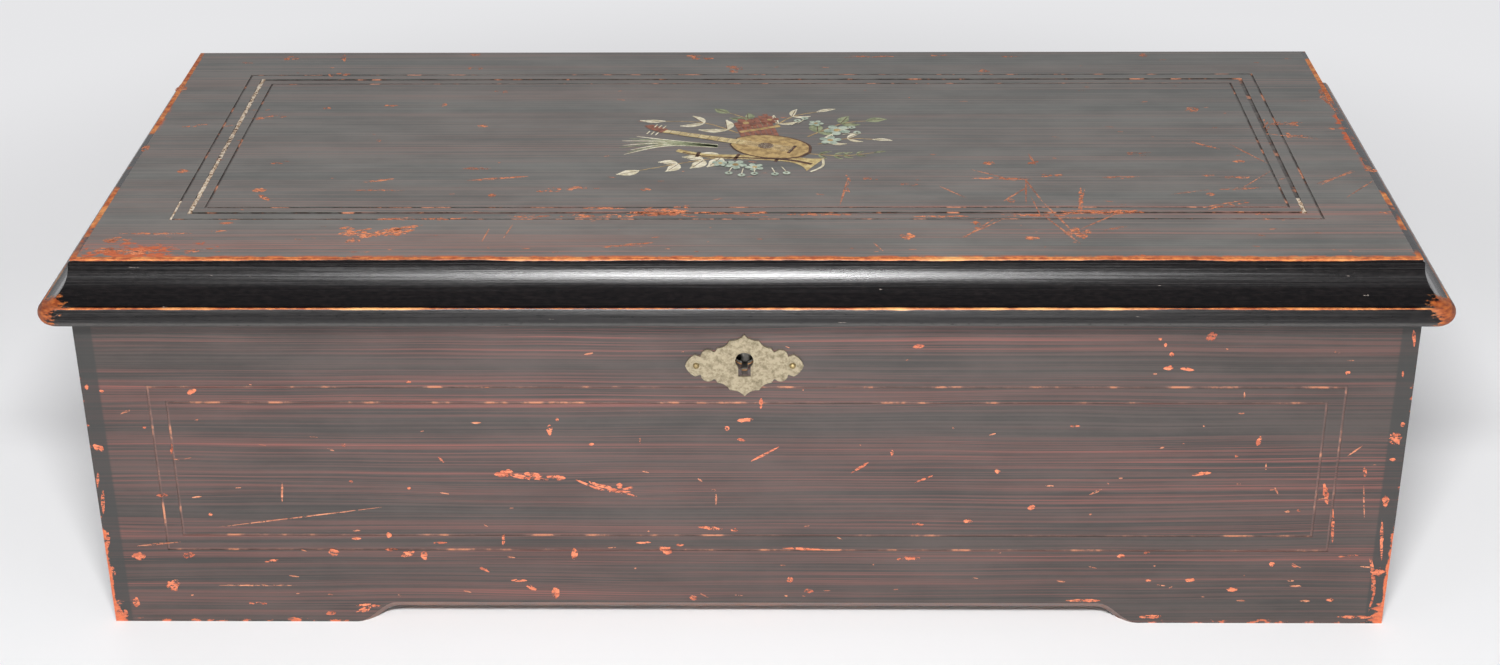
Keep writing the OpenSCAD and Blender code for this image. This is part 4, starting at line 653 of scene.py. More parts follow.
    def scuffed_foot(self, g: Graph, at: Spot, tone: Value, dirt: Value) -> Value:
        """The feet's undersides and the cut-out's edge, which carry no graining.

        Args:
            g: The tree.
            at: The place.
            tone: The colour above them.
            dirt: Noise of the dirt.

        Returns:
            The colour with them.
        """
        facing = g.node("ShaderNodeNewGeometry")["Normal"]
        down = g.vector("DOT_PRODUCT", facing, (0.0, 0.0, -1.0)).ramp(0.25, 0.5)
        foot = g.mix(dirt.ramp(0.35, 0.65), self.under, self.worn_under)
        return g.mix(down * at.z.ramp(20.0, 18.0), tone, foot)

    def paint(self, g: Graph) -> None:
        """Combed grain, then lines, chips and worn edges down to the ground colour.

        Args:
            g: The tree.
        """
        x, y, z = g.split(g.place())
        u, v = {Face.FRONT: (x, z), Face.END: (y, z), Face.TOP: (x, y)}[self.face]
        at = Spot(x, y, z, u, v)
        across = v + (self.weave(g, u * 0.006, v * 0.03, 0) - 0.5) * 5.0
        lines = self.weave(g, u * 0.0022, across * 1.05, 2, 4.0, 0.75)
        hairs = self.weave(g, u * 0.006, across * 2.6, 3, 2.0, 0.6)
        dirt = self.weave(g, u * 0.02, v * 0.05, 6, 5.0, 0.65)
        tone = self.lined(g, at, self.combed(g, at, across, lines, hairs, dirt))
        chip = self.chipped(g, at)
        shade = self.weave(g, u * 0.4, v * 0.9, 11, 3.0)
        tone = g.mix(chip, tone, g.mix(shade.ramp(0.3, 0.7), self.dark_ground, self.ground))
        bare = self.inside(at)
        tone = g.mix(bare, tone, g.mix(lines.ramp(0.3, 0.7), self.wood, self.dark_wood))
        if self.face is not Face.TOP:
            tone = self.scuffed_foot(g, at, tone, dirt)
        height = hairs * 0.25 + lines * 0.35 + (1 - chip) * 0.9 - dirt * 0.3
        g.output(g.surface(
            Base_Color=tone,
            Roughness=(dirt * 0.16 + (self.rough - 0.08) + chip * 0.22 + bare * 0.3).clamp(),
            Normal=g.bump(height, 0.12, 0.55),
            Specular_IOR_Level=0.5))


@dataclass(frozen=True)
class BlackPolish(Finish):
    """Black polish of the lid's moulding, rubbed through to orange on its arrises and corners.

    lip, cove_top and nose are points of the moulding's section, measured out of the case and up
    from foot; corner is the tip of its lip.
    """

    black: Colour = linear(8, 7, 8)
    grey: Colour = linear(24, 20, 20)
    ember: Colour = linear(150, 66, 26)
    amber: Colour = linear(216, 128, 62)
    pale_amber: Colour = linear(240, 178, 108)
    dark_umber: Colour = linear(120, 52, 22)
    umber: Colour = linear(170, 92, 42)
    # Grey of a painted reflection of the pale floor on the lower half of the lip's nose.
    dust: Colour = linear(80, 78, 76)
    nick: Colour = linear(150, 138, 130)
    bare_wood: Colour = linear(168, 118, 70)
    foot: float = 131.6
    corner: Place = (250.5, -111.5, 137.0)
    lip: Point = (8.526, 7.762)
    cove_top: Point = (-1.4, 21.2)
    nose: Point = (6.3, 4.2)
    nose_flat: float = 0.12
    high: float = 22.4

    @staticmethod
    def change_space(g: Graph, normal: Value, source: str, target: str) -> Value:
        """A normal taken from one space to another."""
        return g.node("ShaderNodeVectorTransform", {
            "vector_type": "NORMAL", "convert_from": source, "convert_to": target}, {0: normal})[0]

    def section_normal(self, g: Graph, out: Value, up: Value) -> Value:
        """The normal of the moulding's true curves, for the cove and the lip's round nose.

        Args:
            g: The tree.
            out, up: The place in the moulding's section, in millimetres.

        Returns:
            The normal in world space.
        """
        geometry = g.node("ShaderNodeNewGeometry")["Normal"]
        inward = self.change_space(g, geometry, "WORLD", "OBJECT")
        flat = g.vector("NORMALIZE", g.vector("MULTIPLY", inward, (1.0, 1.0, 0.0)))
        lip_out, lip_up = self.lip
        wide, high = lip_out - self.cove_top[0], self.cove_top[1] - lip_up
        cove_out = (lip_out - out) * (high / wide)
        cove_up = (self.cove_top[1] - up) * (wide / high)
        nose_out, nose_up = out - self.nose[0], (up - self.nose[1]) * self.nose_flat
        in_nose = up.ramp(lip_up + 0.02, lip_up - 0.02)
        reach = g.mix(in_nose, g.join(cove_out, cove_up, 0.0), g.join(nose_out, nose_up, 0.0))
        level, rise, _ = g.split(reach)
        curved = g.vector("ADD", g.vector("SCALE", flat, Scale=level), g.join(0.0, 0.0, rise))
        outer = self.change_space(g, curved, "OBJECT", "WORLD")
        _, _, tilt = g.split(inward)
        on_curve = abs(tilt).ramp(0.998, 0.990) * up.ramp(21.3, 21.1) * out.ramp(-1.7, -1.5)
        return g.vector("NORMALIZE", g.mix(on_curve, geometry, g.vector("NORMALIZE", outer)))

    def worn_top(self, g: Graph, out: Value, up: Value, on_front: Value, along: Value,
                 slow: Value) -> Value:
        """Wear of the moulding's top arris.

        Args:
            g: The tree.
            out, up: The place in the section.
            on_front: 1 on the front run, 0 on the sides.
            along, slow: Noises that run with the moulding.

        Returns:
            1 where it is worn.
        """
        far = g.vector("LENGTH", g.join((out + 2.9) * 0.6, (up - self.high) * 1.5, 0.0))
        width = (0.35 + slow.ramp(0.35, 0.7) * 0.5 + (along - 0.5) * 1.8) * (0.25 + on_front * 0.9)
        return (far - width).ramp(0.6, 0.1) * on_front.max(slow.ramp(0.50, 0.62))

    def worn_lip(self, g: Graph, out: Value, up: Value, on_front: Value, along: Value,
                 slow: Value) -> Value:
        """Wear of the lip's top edge.

        Args:
            g: The tree.
            out, up: The place in the section.
            on_front: 1 on the front run, 0 on the sides.
            along, slow: Noises that run with the moulding.

        Returns:
            1 where it is worn.
        """
        far = g.vector("LENGTH", g.join(out - 8.5, up - 7.8, 0.0))
        width = 0.05 + (along - 0.5) * 1.5 + slow.ramp(0.4, 0.7) * 0.25
        return (far - width).ramp(0.45, 0.05) * (0.35 + on_front * 0.65)

    def worn_corner(self, g: Graph, x: Value, y: Value, z: Value, spread: Value) -> Value:
        """Wear of the lip's two corners.

        Args:
            g: The tree.
            x, y, z: The place.
            spread: How far the wear reaches here, from noise.

        Returns:
            1 where it is worn.
        """
        tip_x, tip_y, tip_z = self.corner
        far = g.vector("LENGTH", g.join(abs(x) - tip_x, y - tip_y, (z - tip_z) * 0.9))
        return (far - spread).ramp(6.2, 4.6)

    def rubbed_wood(self, g: Graph, fine: Value, along: Value, deep: Value) -> Value:
        """The colour of the wood where the polish is off.

        Args:
            g: The tree.
            fine, along: Noises of its fibres.
            deep: 1 where it is darkest.

        Returns:
            The colour.
        """
        glow = g.mix(fine.ramp(0.35, 0.7), self.ember, self.amber)
        glow = g.mix((along - 0.1).ramp(0.40, 0.66), glow, self.pale_amber)
        return g.mix(deep, glow, g.mix(fine.ramp(0.35, 0.65), self.dark_umber, self.umber))

    def paint(self, g: Graph) -> None:
        """Gloss black, worn along the top arris, the lip's top edge and the lip's corners.

        Args:
            g: The tree.
        """
        point = g.place()
        x, y, z = g.split(point)
        out = (abs(x) - HALF_LONG).max(FRONT_Y - y)
        up = z - self.foot
        along = g.noise(g.stretch(point, 0.03, 0.03, 0.12), 1.0, 5.0, 0.68)
        slow = g.noise(g.stretch(point, 0.009, 0.009, 0.009), 1.0, 2.0)
        fine = g.noise(g.stretch(point, 0.35, 0.35, 1.2), 1.0, 4.0, 0.65)
        on_front = (0.0 - y).ramp(95.0, 101.0)
        top = self.worn_top(g, out, up, on_front, along, slow)
        lip = self.worn_lip(g, out, up, on_front, along, slow)
        corner = self.worn_corner(g, x, y, z, (fine - 0.5) * 9.0 + (along - 0.5) * 9.0)
        flat_top = up.ramp(22.2, 22.35) * (along + slow * 0.5).ramp(0.66, 0.74)
        worn = top.max(lip).max(corner).max(flat_top)
        whole = 1 - worn
        dents = g.noise(g.stretch(point, 0.10, 0.10, 0.75), 1.0, 4.0, 0.6)
        nicks = dents.ramp(0.715, 0.74) * slow.ramp(0.36, 0.52)
        glow = self.rubbed_wood(g, fine, along, corner * (1 - top))
        tone = g.mix(worn, g.mix(fine.ramp(0.3, 0.8), self.black, self.grey), glow)
        # Painted reflection: the lower half of the lip's nose is greyed as if it mirrored the pale
        # floor, broken up by fine noise.
        painted_floor_reflection = up.ramp(3.4, 2.0) * out.ramp(3.0, 5.0) * (0.3 + fine * 0.6)
        tone = g.mix(painted_floor_reflection * whole, tone, self.dust)
        tone = g.mix(nicks * whole, tone, self.nick)
        under = (0.0 - g.split(g.node("ShaderNodeNewGeometry")["Normal"])[2]).ramp(0.85, 0.95)
        tone = g.mix(under * out.ramp(-2.0, -4.0), tone, self.bare_wood)
        rolled = up.ramp(7.8, 7.4) * out.ramp(3.0, 6.0)
        rubbed = g.noise(g.stretch(point, 0.012, 0.9, 2.4), 1.0, 3.0, 0.6)
        height = fine * 0.3 + along * 0.5 + rubbed * 0.35 - nicks * 0.8 + worn * -0.6
        rough = 0.16 + fine * 0.09 + rubbed.ramp(0.4, 0.7) * 0.14 + rolled * 0.08
        g.output(g.surface(
            Base_Color=tone,
            Roughness=(rough + worn * 0.28 + nicks * 0.3).clamp(),
            Normal=g.bump(height, 0.16, 0.5, self.section_normal(g, out, up)),
            Coat_Weight=(whole * 0.55 * (1 - rolled * 0.8)).clamp(),
            Coat_Roughness=0.08))


@dataclass(frozen=True)
class PlainWood(Finish):
    """Bare or stained wood: long fibres, growth bands and small pores."""

    pale: Colour = linear(204, 158, 104)
    dark: Colour = linear(150, 102, 60)
    along: str = "x"
    rough: float = 0.6
    coat: float = 0.0

    def paint(self, g: Graph) -> None:
        """Fibres along one axis and bands across it.

        Args:
            g: The tree.
        """
        slim = {"x": (0.012, 0.35, 0.35), "y": (0.35, 0.012, 0.35), "z": (0.35, 0.35, 0.012)}
        point = g.stretch(g.place(), *slim[self.along])
        bands = g.noise(g.stretch(point, 0.25, 0.25, 0.25), 1.0, 2.0, 0.5, 1.2)
        fibres = g.noise(point, 3.0, 5.0, 0.65)
        pores = g.noise(g.stretch(point, 0.7, 4.0, 4.0), 2.0, 2.0)
        tone = g.mix(bands.ramp(0.3, 0.7), self.pale, self.dark)
        tone = g.mix(fibres.ramp(0.45, 0.8) * 0.6, tone, self.dark, "MULTIPLY")
        tone = g.mix(pores.ramp(0.66, 0.74) * 0.5, tone, linear(70, 44, 26))
        g.output(g.surface(
            Base_Color=tone,
            Roughness=(fibres * 0.2 + (self.rough - 0.1)).clamp(),
            Normal=g.bump(fibres * 0.7 + pores * 0.3, 0.12, 0.5),
            Coat_Weight=self.coat,
            Coat_Roughness=0.2))


@dataclass(frozen=True)
class Metal(Finish):
    """A worked metal: lathe or file marks, a thin tarnish and small dark spots."""

    base: Colour = linear(196, 164, 96)
    tarnish: Colour = linear(120, 92, 48)
    spot: Colour = linear(56, 44, 30)
    brushed: Place = (1.0, 1.0, 1.0)
    rough: float = 0.3
    dull: float = 0.35
    gleam: float = 0.78
    depth: float = 0.03
    clouds: float = 0.11

    def paint(self, g: Graph) -> None:
        """Tool marks in the bump and roughness, tarnish in the colour.

        Args:
            g: The tree.
        """
        point = g.place()
        tool = g.noise(g.stretch(point, *self.brushed), 1.0, 3.0, 0.6)
        cloud = g.noise(point, self.clouds, 4.0, 0.6)
        grit = g.noise(point, 1.4, 3.0, 0.6)
        worn = (cloud * 0.7 + grit * 0.3).ramp(0.40, 0.66) * self.dull
        spots = grit.ramp(0.68, 0.76) * cloud.ramp(0.4, 0.6) * self.dull
        tone = g.mix(worn, self.base, self.tarnish)
        tone = g.mix(spots, tone, self.spot)
        marks = g.ramp(tool, ((0.3, (0.75, 0.75, 0.75)), (0.7, (1.0, 1.0, 1.0))))
        tone = g.mix(0.25, tone, marks, "MULTIPLY")
        g.output(g.surface(
            Base_Color=tone,
            Metallic=(self.gleam - spots * 0.5 - worn * 0.15).clamp(),
            Roughness=(self.rough + tool * 0.12 + worn * 0.2 + spots * 0.2 - 0.06).clamp(),
            Normal=g.bump(tool * 0.7 + grit * 0.3, self.depth, 0.5)))


@dataclass(frozen=True)
class CastIron(Finish):
    """Painted cast iron: a fine pebbled skin, rubbed on its edges."""

    paint_tone: Colour = linear(52, 56, 50)

    def paint(self, g: Graph) -> None:
        """Pebbles in the bump, dust in the colour.

        Args:
            g: The tree.
        """
        point = g.place()
        pebble = g.noise(point, 1.1, 4.0, 0.65)
        cloud = g.noise(point, 0.04, 4.0, 0.6)
        tone = g.mix(cloud.ramp(0.35, 0.7), self.paint_tone, linear(34, 36, 34))
        tone = g.mix(pebble.ramp(0.62, 0.75) * 0.4, tone, linear(120, 116, 104))
        g.output(g.surface(
            Base_Color=tone,
            Roughness=(0.42 + pebble * 0.2 + cloud * 0.1).clamp(),
            Metallic=(pebble.ramp(0.66, 0.78) * 0.5).clamp(),
            Normal=g.bump(pebble, 0.12, 0.7)))


@dataclass(frozen=True)
class Pane(Finish):
    """Old window glass with slight ripples."""

    def paint(self, g: Graph) -> None:
        """Clear glass whose tint, dust and surface vary a little.

        Args:
            g: The tree.
        """
        point = g.place()
        ripple = g.noise(point, 0.02, 2.0)
        dust = g.noise(point, 0.5, 4.0, 0.7)
        g.output(g.surface(
            Base_Color=g.mix(ripple.ramp(0.3, 0.7), linear(244, 250, 247), linear(232, 244, 238)),
            Roughness=(dust.ramp(0.55, 0.8) * 0.08 + 0.01).clamp(),
            Normal=g.bump(ripple, 0.1, 0.2),
            IOR=1.45,
            Transmission_Weight=1.0))


@dataclass(frozen=True)
class Bone(Finish):
    """Turned bone: creamy, with fine dark pores along it."""

    def paint(self, g: Graph) -> None:
        """Pores and a yellowed tone.

        Args:
            g: The tree.
        """
        point = g.place()
        cloud = g.noise(point, 0.25, 3.0)
        pores = g.noise(g.stretch(point, 3.0, 3.0, 0.5), 1.0, 3.0)
        tone = g.mix(cloud.ramp(0.3, 0.7), linear(232, 222, 192), linear(206, 186, 140))
        tone = g.mix(pores.ramp(0.66, 0.76) * 0.6, tone, linear(132, 104, 68))
        g.output(g.surface(
            Base_Color=tone,
            Roughness=(0.3 + pores * 0.15).clamp(),
            Normal=g.bump(pores, 0.05, 0.4)))


@dataclass(frozen=True)
class TransferPaint(Finish):
    """Old ornament paint: faded, crazed and rubbed thin in places."""

    tone: Colour = linear(190, 178, 140)
    shade: Colour = linear(120, 104, 70)
    fade: float = 0.35

    def paint(self, g: Graph) -> None:
        """Two tones with fine wear that lets the dark ground through.

        Args:
            g: The tree.
        """
        point = g.place()
        cloud = g.noise(point, 0.35, 4.0, 0.6)
        crack = g.noise(point, 1.8, 4.0, 0.7)
        tone = g.mix(cloud.ramp(0.35, 0.68), self.tone, self.shade)
        tone = g.mix(crack.ramp(0.54, 0.70) * self.fade, tone, linear(46, 40, 36))
        g.output(g.surface(
            Base_Color=tone,
            Roughness=(0.38 + crack * 0.2).clamp(),
            Normal=g.bump(crack, 0.03, 0.4)))


@dataclass(frozen=True)
class BareGround(Finish):
    """The orange ground where the paint has chipped off."""

    pale: Colour = linear(216, 122, 84)
    dark: Colour = linear(158, 78, 52)
    holes: float = 0.46

    def paint(self, g: Graph) -> None:
        """Uneven orange with darker fibres along it.

        Args:
            g: The tree.
        """
        point = g.place()
        fibres = g.noise(g.stretch(point, 0.25, 1.6, 1.6), 1.0, 4.0, 0.65)
        cloud = g.noise(point, 0.12, 3.0)
        tone = g.mix((fibres * 0.6 + cloud * 0.4).ramp(0.40, 0.60), self.pale, self.dark)
        flakes = g.noise(g.stretch(point, 0.55, 1.1, 1.1), 1.0, 4.0, 0.7)
        g.output(g.surface(
            Base_Color=tone,
            Roughness=(0.5 + fibres * 0.2).clamp(),
            Alpha=flakes.ramp(self.holes - 0.04, self.holes + 0.04),
            Normal=g.bump(fibres, 0.06, 0.5)))


@dataclass(frozen=True)
class LineInlay(Finish):
    """Pale line inlay, its gesso rubbed and dirty in places."""

    def paint(self, g: Graph) -> None:
        """Cream, with brown dirt and orange wood showing.

        Args:
            g: The tree.
        """
        point = g.place()
        grit = g.noise(point, 0.9, 4.0, 0.7)
        slow = g.noise(point, 0.05, 2.0)
        tone = g.mix(grit.ramp(0.42, 0.60), linear(214, 200, 180), linear(150, 116, 84))
        tone = g.mix((grit + slow * 0.4).ramp(0.74, 0.84), tone, linear(66, 44, 34))
        g.output(g.surface(
            Base_Color=tone,
            Roughness=(0.5 + grit * 0.3).clamp(),
            Normal=g.bump(grit, 0.25, 0.8)))


@dataclass(frozen=True)
class StudioPaper(Finish):
    """The pale floor under the object: it takes its shadow and darkens slowly to the back."""

    # Painted shade: the floor's tone under the front lamps, darkened to damp their pool of light.
    under_lamp_shade: Colour = linear(124, 124, 125)
    near: Colour = linear(231, 231, 232)
    far: Colour = linear(250, 250, 251)
    open_floor: Colour = linear(232, 232, 234)
    lift: float = 0.95

    def paint(self, g: Graph) -> None:
        """A matt floor, lifted a little for the camera, for reflections and for glass, and painted
        dark far in front for reflections alone.

        Args:
            g: The tree.
        """
        point = g.place()
        _, y, _ = g.split(point)
        away = g.vector("LENGTH", point)
        tone = g.mix(y.ramp(-300.0, 150.0), self.near, self.far)
        # Painted shade: darker paper in front, under the front lamps, to damp their pool of light.
        tone = g.mix(y.ramp(-260.0, -800.0), tone, self.under_lamp_shade)
        matt = g.node("ShaderNodeBsdfDiffuse", None, {"Color": tone})
        glow = g.node("ShaderNodeEmission", None, {"Color": self.open_floor, "Strength": 1.0})
        path = g.node("ShaderNodeLightPath")
        seen = path["Is Camera Ray"].max(path["Is Glossy Ray"]).max(path["Is Transmission Ray"])
        made = g.node("ShaderNodeMixShader", None, {
            0: seen * away.ramp(340.0, 680.0) * self.lift, 1: matt[0], 2: glow[0]})
        # Painted reflection: far in front the floor shows dark to glossy rays alone, so polish
        # mirrors darkness there.
        dark_in_reflections = g.node("ShaderNodeEmission", None, {"Color": linear(40, 40, 42), "Strength": 1.0})
        g.output(g.node("ShaderNodeMixShader", None, {
            0: path["Is Glossy Ray"] * y.ramp(-330.0, -430.0), 1: made[0], 2: dark_in_reflections[0]}))


# ---- Mesh making ---------------------------------------------------------------------------------


def dress(finish: Finish, *nodes: str) -> None:
    """Gives CAD nodes a finish.

    Args:
        finish: The finish.
        nodes: The nodes' names.
    """
    for name in nodes:
        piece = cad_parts[name]
        if not piece.material_slots:
            piece.data.materials.append(None)
        for slot in piece.material_slots:
            slot.material = finish.material()
    LOG.info("dressed %s with %s", ", ".join(nodes), finish.name)


def piece_from(mesh: bmesh.types.BMesh, name: str, finish: Finish, body: str) -> bpy.types.Object:
    """Turns a mesh in millimetres into a piece of the object.

    Args:
        mesh: The mesh, which is freed.
        name: The piece's name.
        finish: Its finish.
        body: The body it rides on.

    Returns:
        The piece.
    """
    bmesh.ops.scale(mesh, vec=(MM, MM, MM), verts=mesh.verts)
    bmesh.ops.recalc_face_normals(mesh, faces=mesh.faces)
    data = bpy.data.meshes.new(name)
    mesh.to_mesh(data)
    mesh.free()
    piece = bpy.data.objects.new(name, data)
    bpy.context.scene.collection.objects.link(piece)
    data.materials.append(finish.material())
    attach(piece, body)
    LOG.info("made %s on %s", name, body)
    return piece


def add_plate(mesh: bmesh.types.BMesh, outline: Sequence[Point], low: float, high: float) -> None:
    """Adds a closed plate with that outline between two heights.

    Args:
        mesh: The mesh that it goes into.
        outline: The outline, in order.
        low: Height of its bottom.
        high: Height of its top.
    """
    bottom = [mesh.verts.new((x, y, low)) for x, y in outline]
    top = [mesh.verts.new((x, y, high)) for x, y in outline]
    count = len(outline)
    mesh.faces.new(top)
    mesh.faces.new(bottom[::-1])
    for i in range(count):
        j = (i + 1) % count
        mesh.faces.new((bottom[i], bottom[j], top[j], top[i]))


def smooth_curve(points: Sequence[Point], steps: int = 8) -> list[Point]:
    """A Catmull-Rom curve through points.

    Args:
        points: What it passes through.
        steps: Pieces between two points.

    Returns:
        The curve's points.
    """
    padded = [points[0], *points, points[-1]]
    made: list[Point] = []
    for a, b, c, d in zip(padded, padded[1:], padded[2:], padded[3:]):
        for i in range(steps):
            t = i / steps
            made.append(tuple(
                0.5 * (2 * q + (r - p) * t + (2 * p - 5 * q + 4 * r - s) * t * t
                       + (3 * q - p - 3 * r + s) * t ** 3) for p, q, r, s in zip(a, b, c, d)))
    made.append(points[-1])
    return made


def ribbon(points: Sequence[Point], width: Callable[[float], float]) -> list[Point]:
    """The outline of a stroke along a curve.

    Args:
        points: The curve.
        width: Half the stroke's width at a share of its length.

    Returns:
        The outline.
    """
    left: list[Point] = []
    right: list[Point] = []
    last = len(points) - 1
    for i, (x, y) in enumerate(points):
        ax, ay = points[max(i - 1, 0)]
        bx, by = points[min(i + 1, last)]
        length = math.hypot(bx - ax, by - ay) or 1.0
        nx, ny = (ay - by) / length, (bx - ax) / length
        half = max(width(i / last), 0.04)
        left.append((x + nx * half, y + ny * half))
        right.append((x - nx * half, y - ny * half))
    return left + right[::-1]


def turned(points: Iterable[Point], x: float, y: float, angle: float,
           size: float = 1.0) -> list[Point]:
    """Points scaled, turned by an angle in degrees and moved to (x, y)."""
    c, s = math.cos(math.radians(angle)) * size, math.sin(math.radians(angle)) * size
    return [(x + px * c - py * s, y + px * s + py * c) for px, py in points]


def bar(x0: float, y0: float, x1: float, y1: float) -> list[Point]:
    """A rectangle between two of its corners."""
    return [(x0, y0), (x1, y0), (x1, y1), (x0, y1)]


# ---- Worn marks ----------------------------------------------------------------------------------


@dataclass
class WornMarks:
    """Chips and scratches through the paint, as flat ragged patches on one painted face.

    level is where the face lies, reach the rectangle that strays are strewn over, and cut_half,
    cut_run and cut_high the half-length, slope and height of the cut-out at the case's foot.
    """

    name: str
    face: Face
    marks: tuple[Mark, ...]
    body: str
    level: float
    reach: tuple[float, float, float, float]
    strays: int
    seed: int
    proud: float = 0.014
    sunk: float = 0.15
    cut_half: float = 151.0
    cut_run: float = 16.0
    cut_high: float = 9.0
    slot: str = "grained_wood"
    ground: Finish = BareGround("chipped_ground")
    scratch: Finish = BareGround(
        "scratched_ground", linear(206, 134, 98), linear(150, 88, 64), 0.45)

    def outline(self, mark: Mark, draw: random.Random) -> list[Point]:
        """A ragged patch.

        Args:
            mark: Its place, half-length, half-width and angle.
            draw: Where its raggedness comes from.

        Returns:
            The outline.
        """
        x, y, half_length, half_width, angle = mark
        count = max(9, min(44, int(2.6 * (half_length + half_width) / 0.55)))
        made = []
        for i in range(count):
            a = math.tau * i / count
            ragged = 1.0 + draw.uniform(-0.42, 0.30)
            taper = 1.0 - 0.35 * abs(math.cos(a)) ** 3
            made.append((half_length * math.cos(a) * (0.92 + 0.16 * draw.random()),
                         half_width * math.sin(a) * ragged * taper))
        return turned(made, x, y, angle)

    def patches(self, mark: Mark, draw: random.Random) -> list[list[Point]]:
        """The ragged patches that make one mark: broad ones break up, thin ones run on.

        Args:
            mark: The mark.
            draw: Where its pieces come from.

        Returns:
            Their outlines.
        """
        x, y, half_length, half_width, angle = mark
        if half_width < 1.1 or half_length < 3.0:
            return [self.outline(mark, draw)]
        made = []
        for _ in range(int(3 + half_length * half_width / 3.5)):
            offset = draw.uniform(-0.85, 0.85) * half_length, draw.gauss(0.0, 0.38) * half_width
            (px, py), = turned([offset], x, y, angle)
            piece = (px, py, draw.uniform(0.16, 0.5) * half_length,
                     half_width * draw.uniform(0.16, 0.5), angle + draw.uniform(-14, 14))
            made.append(self.outline(piece, draw))
        return made

    def stray_marks(self, draw: random.Random) -> list[Mark]:
        """Small marks strewn over the face, more of them low down or to the front.

        Args:
            draw: Where their places and sizes come from.

        Returns:
            The marks.
        """
        x0, y0, x1, y1 = self.reach
        made = []
        for _ in range(self.strays):
            up = draw.random() ** 1.7
            made.append((draw.uniform(x0, x1), y0 + (y1 - y0) * up,
                         draw.uniform(0.3, 1.9), draw.uniform(0.12, 0.36), draw.gauss(0.0, 14.0)))
        return made

    def on_wood(self, outline: Sequence[Point]) -> bool:
        """Tells whether a patch lies wholly on the panel, clear of the cut-out at its foot.

        Args:
            outline: The patch's outline.

        Returns:
            Whether it does.
        """
        if self.face is Face.TOP:
            return True
        for x, z in outline:
            run = min(max((self.cut_half - abs(x)) / self.cut_run, 0.0), 1.0)
            if z < self.cut_high * (1 - math.cos(math.pi * run)) / 2 + 0.2 or z < 0.2:
                return False
        return True

    def build(self) -> None:
        """Makes the chips as one piece and the thin scratches as another."""
        draw = random.Random(self.seed)
        chips, scratches = bmesh.new(), bmesh.new()
        for mark in self.marks + tuple(self.stray_marks(draw)):
            *_, half_width, _ = mark
            thin = half_width < 0.45
            for outline in self.patches(mark, draw):
                proud = self.proud * draw.uniform(0.7, 1.6)
                if self.on_wood(outline):
                    self._lay(scratches if thin else chips, outline, proud)
        piece_from(chips, f"{self.name}_chips", self.ground, self.body)
        piece_from(scratches, f"{self.name}_scratches", self.scratch, self.body)

    def _lay(self, mesh: bmesh.types.BMesh, outline: Sequence[Point], proud: float) -> None:
        """Lays one patch on the face.

        Args:
            mesh: The mesh that it goes into.
            outline: Its outline in the face's plane.
            proud: How far it stands out of the face, so that two patches never share a plane.
        """
        part = bmesh.new()
        if self.face is Face.TOP:
            add_plate(part, outline, self.level - self.sunk, self.level + proud)
        else:
            add_plate(part, outline, -self.sunk, proud)
            for vertex in part.verts:
                along, up, out = vertex.co
                vertex.co = (along, self.level - out, up)
        data = bpy.data.meshes.new("patch")
        part.to_mesh(data)
        part.free()
        mesh.from_mesh(data)
        bpy.data.meshes.remove(data)


# ---- The lid's ornament --------------------------------------------------------------------------


class Leaf(Enum):
    """Outlines of the ornament's leaves, as half-width along a leaf of length 1."""

    LANCE = (0.02, 0.10, 0.15, 0.16, 0.13, 0.08, 0.0)
    BROAD = (0.03, 0.17, 0.26, 0.28, 0.22, 0.11, 0.0)


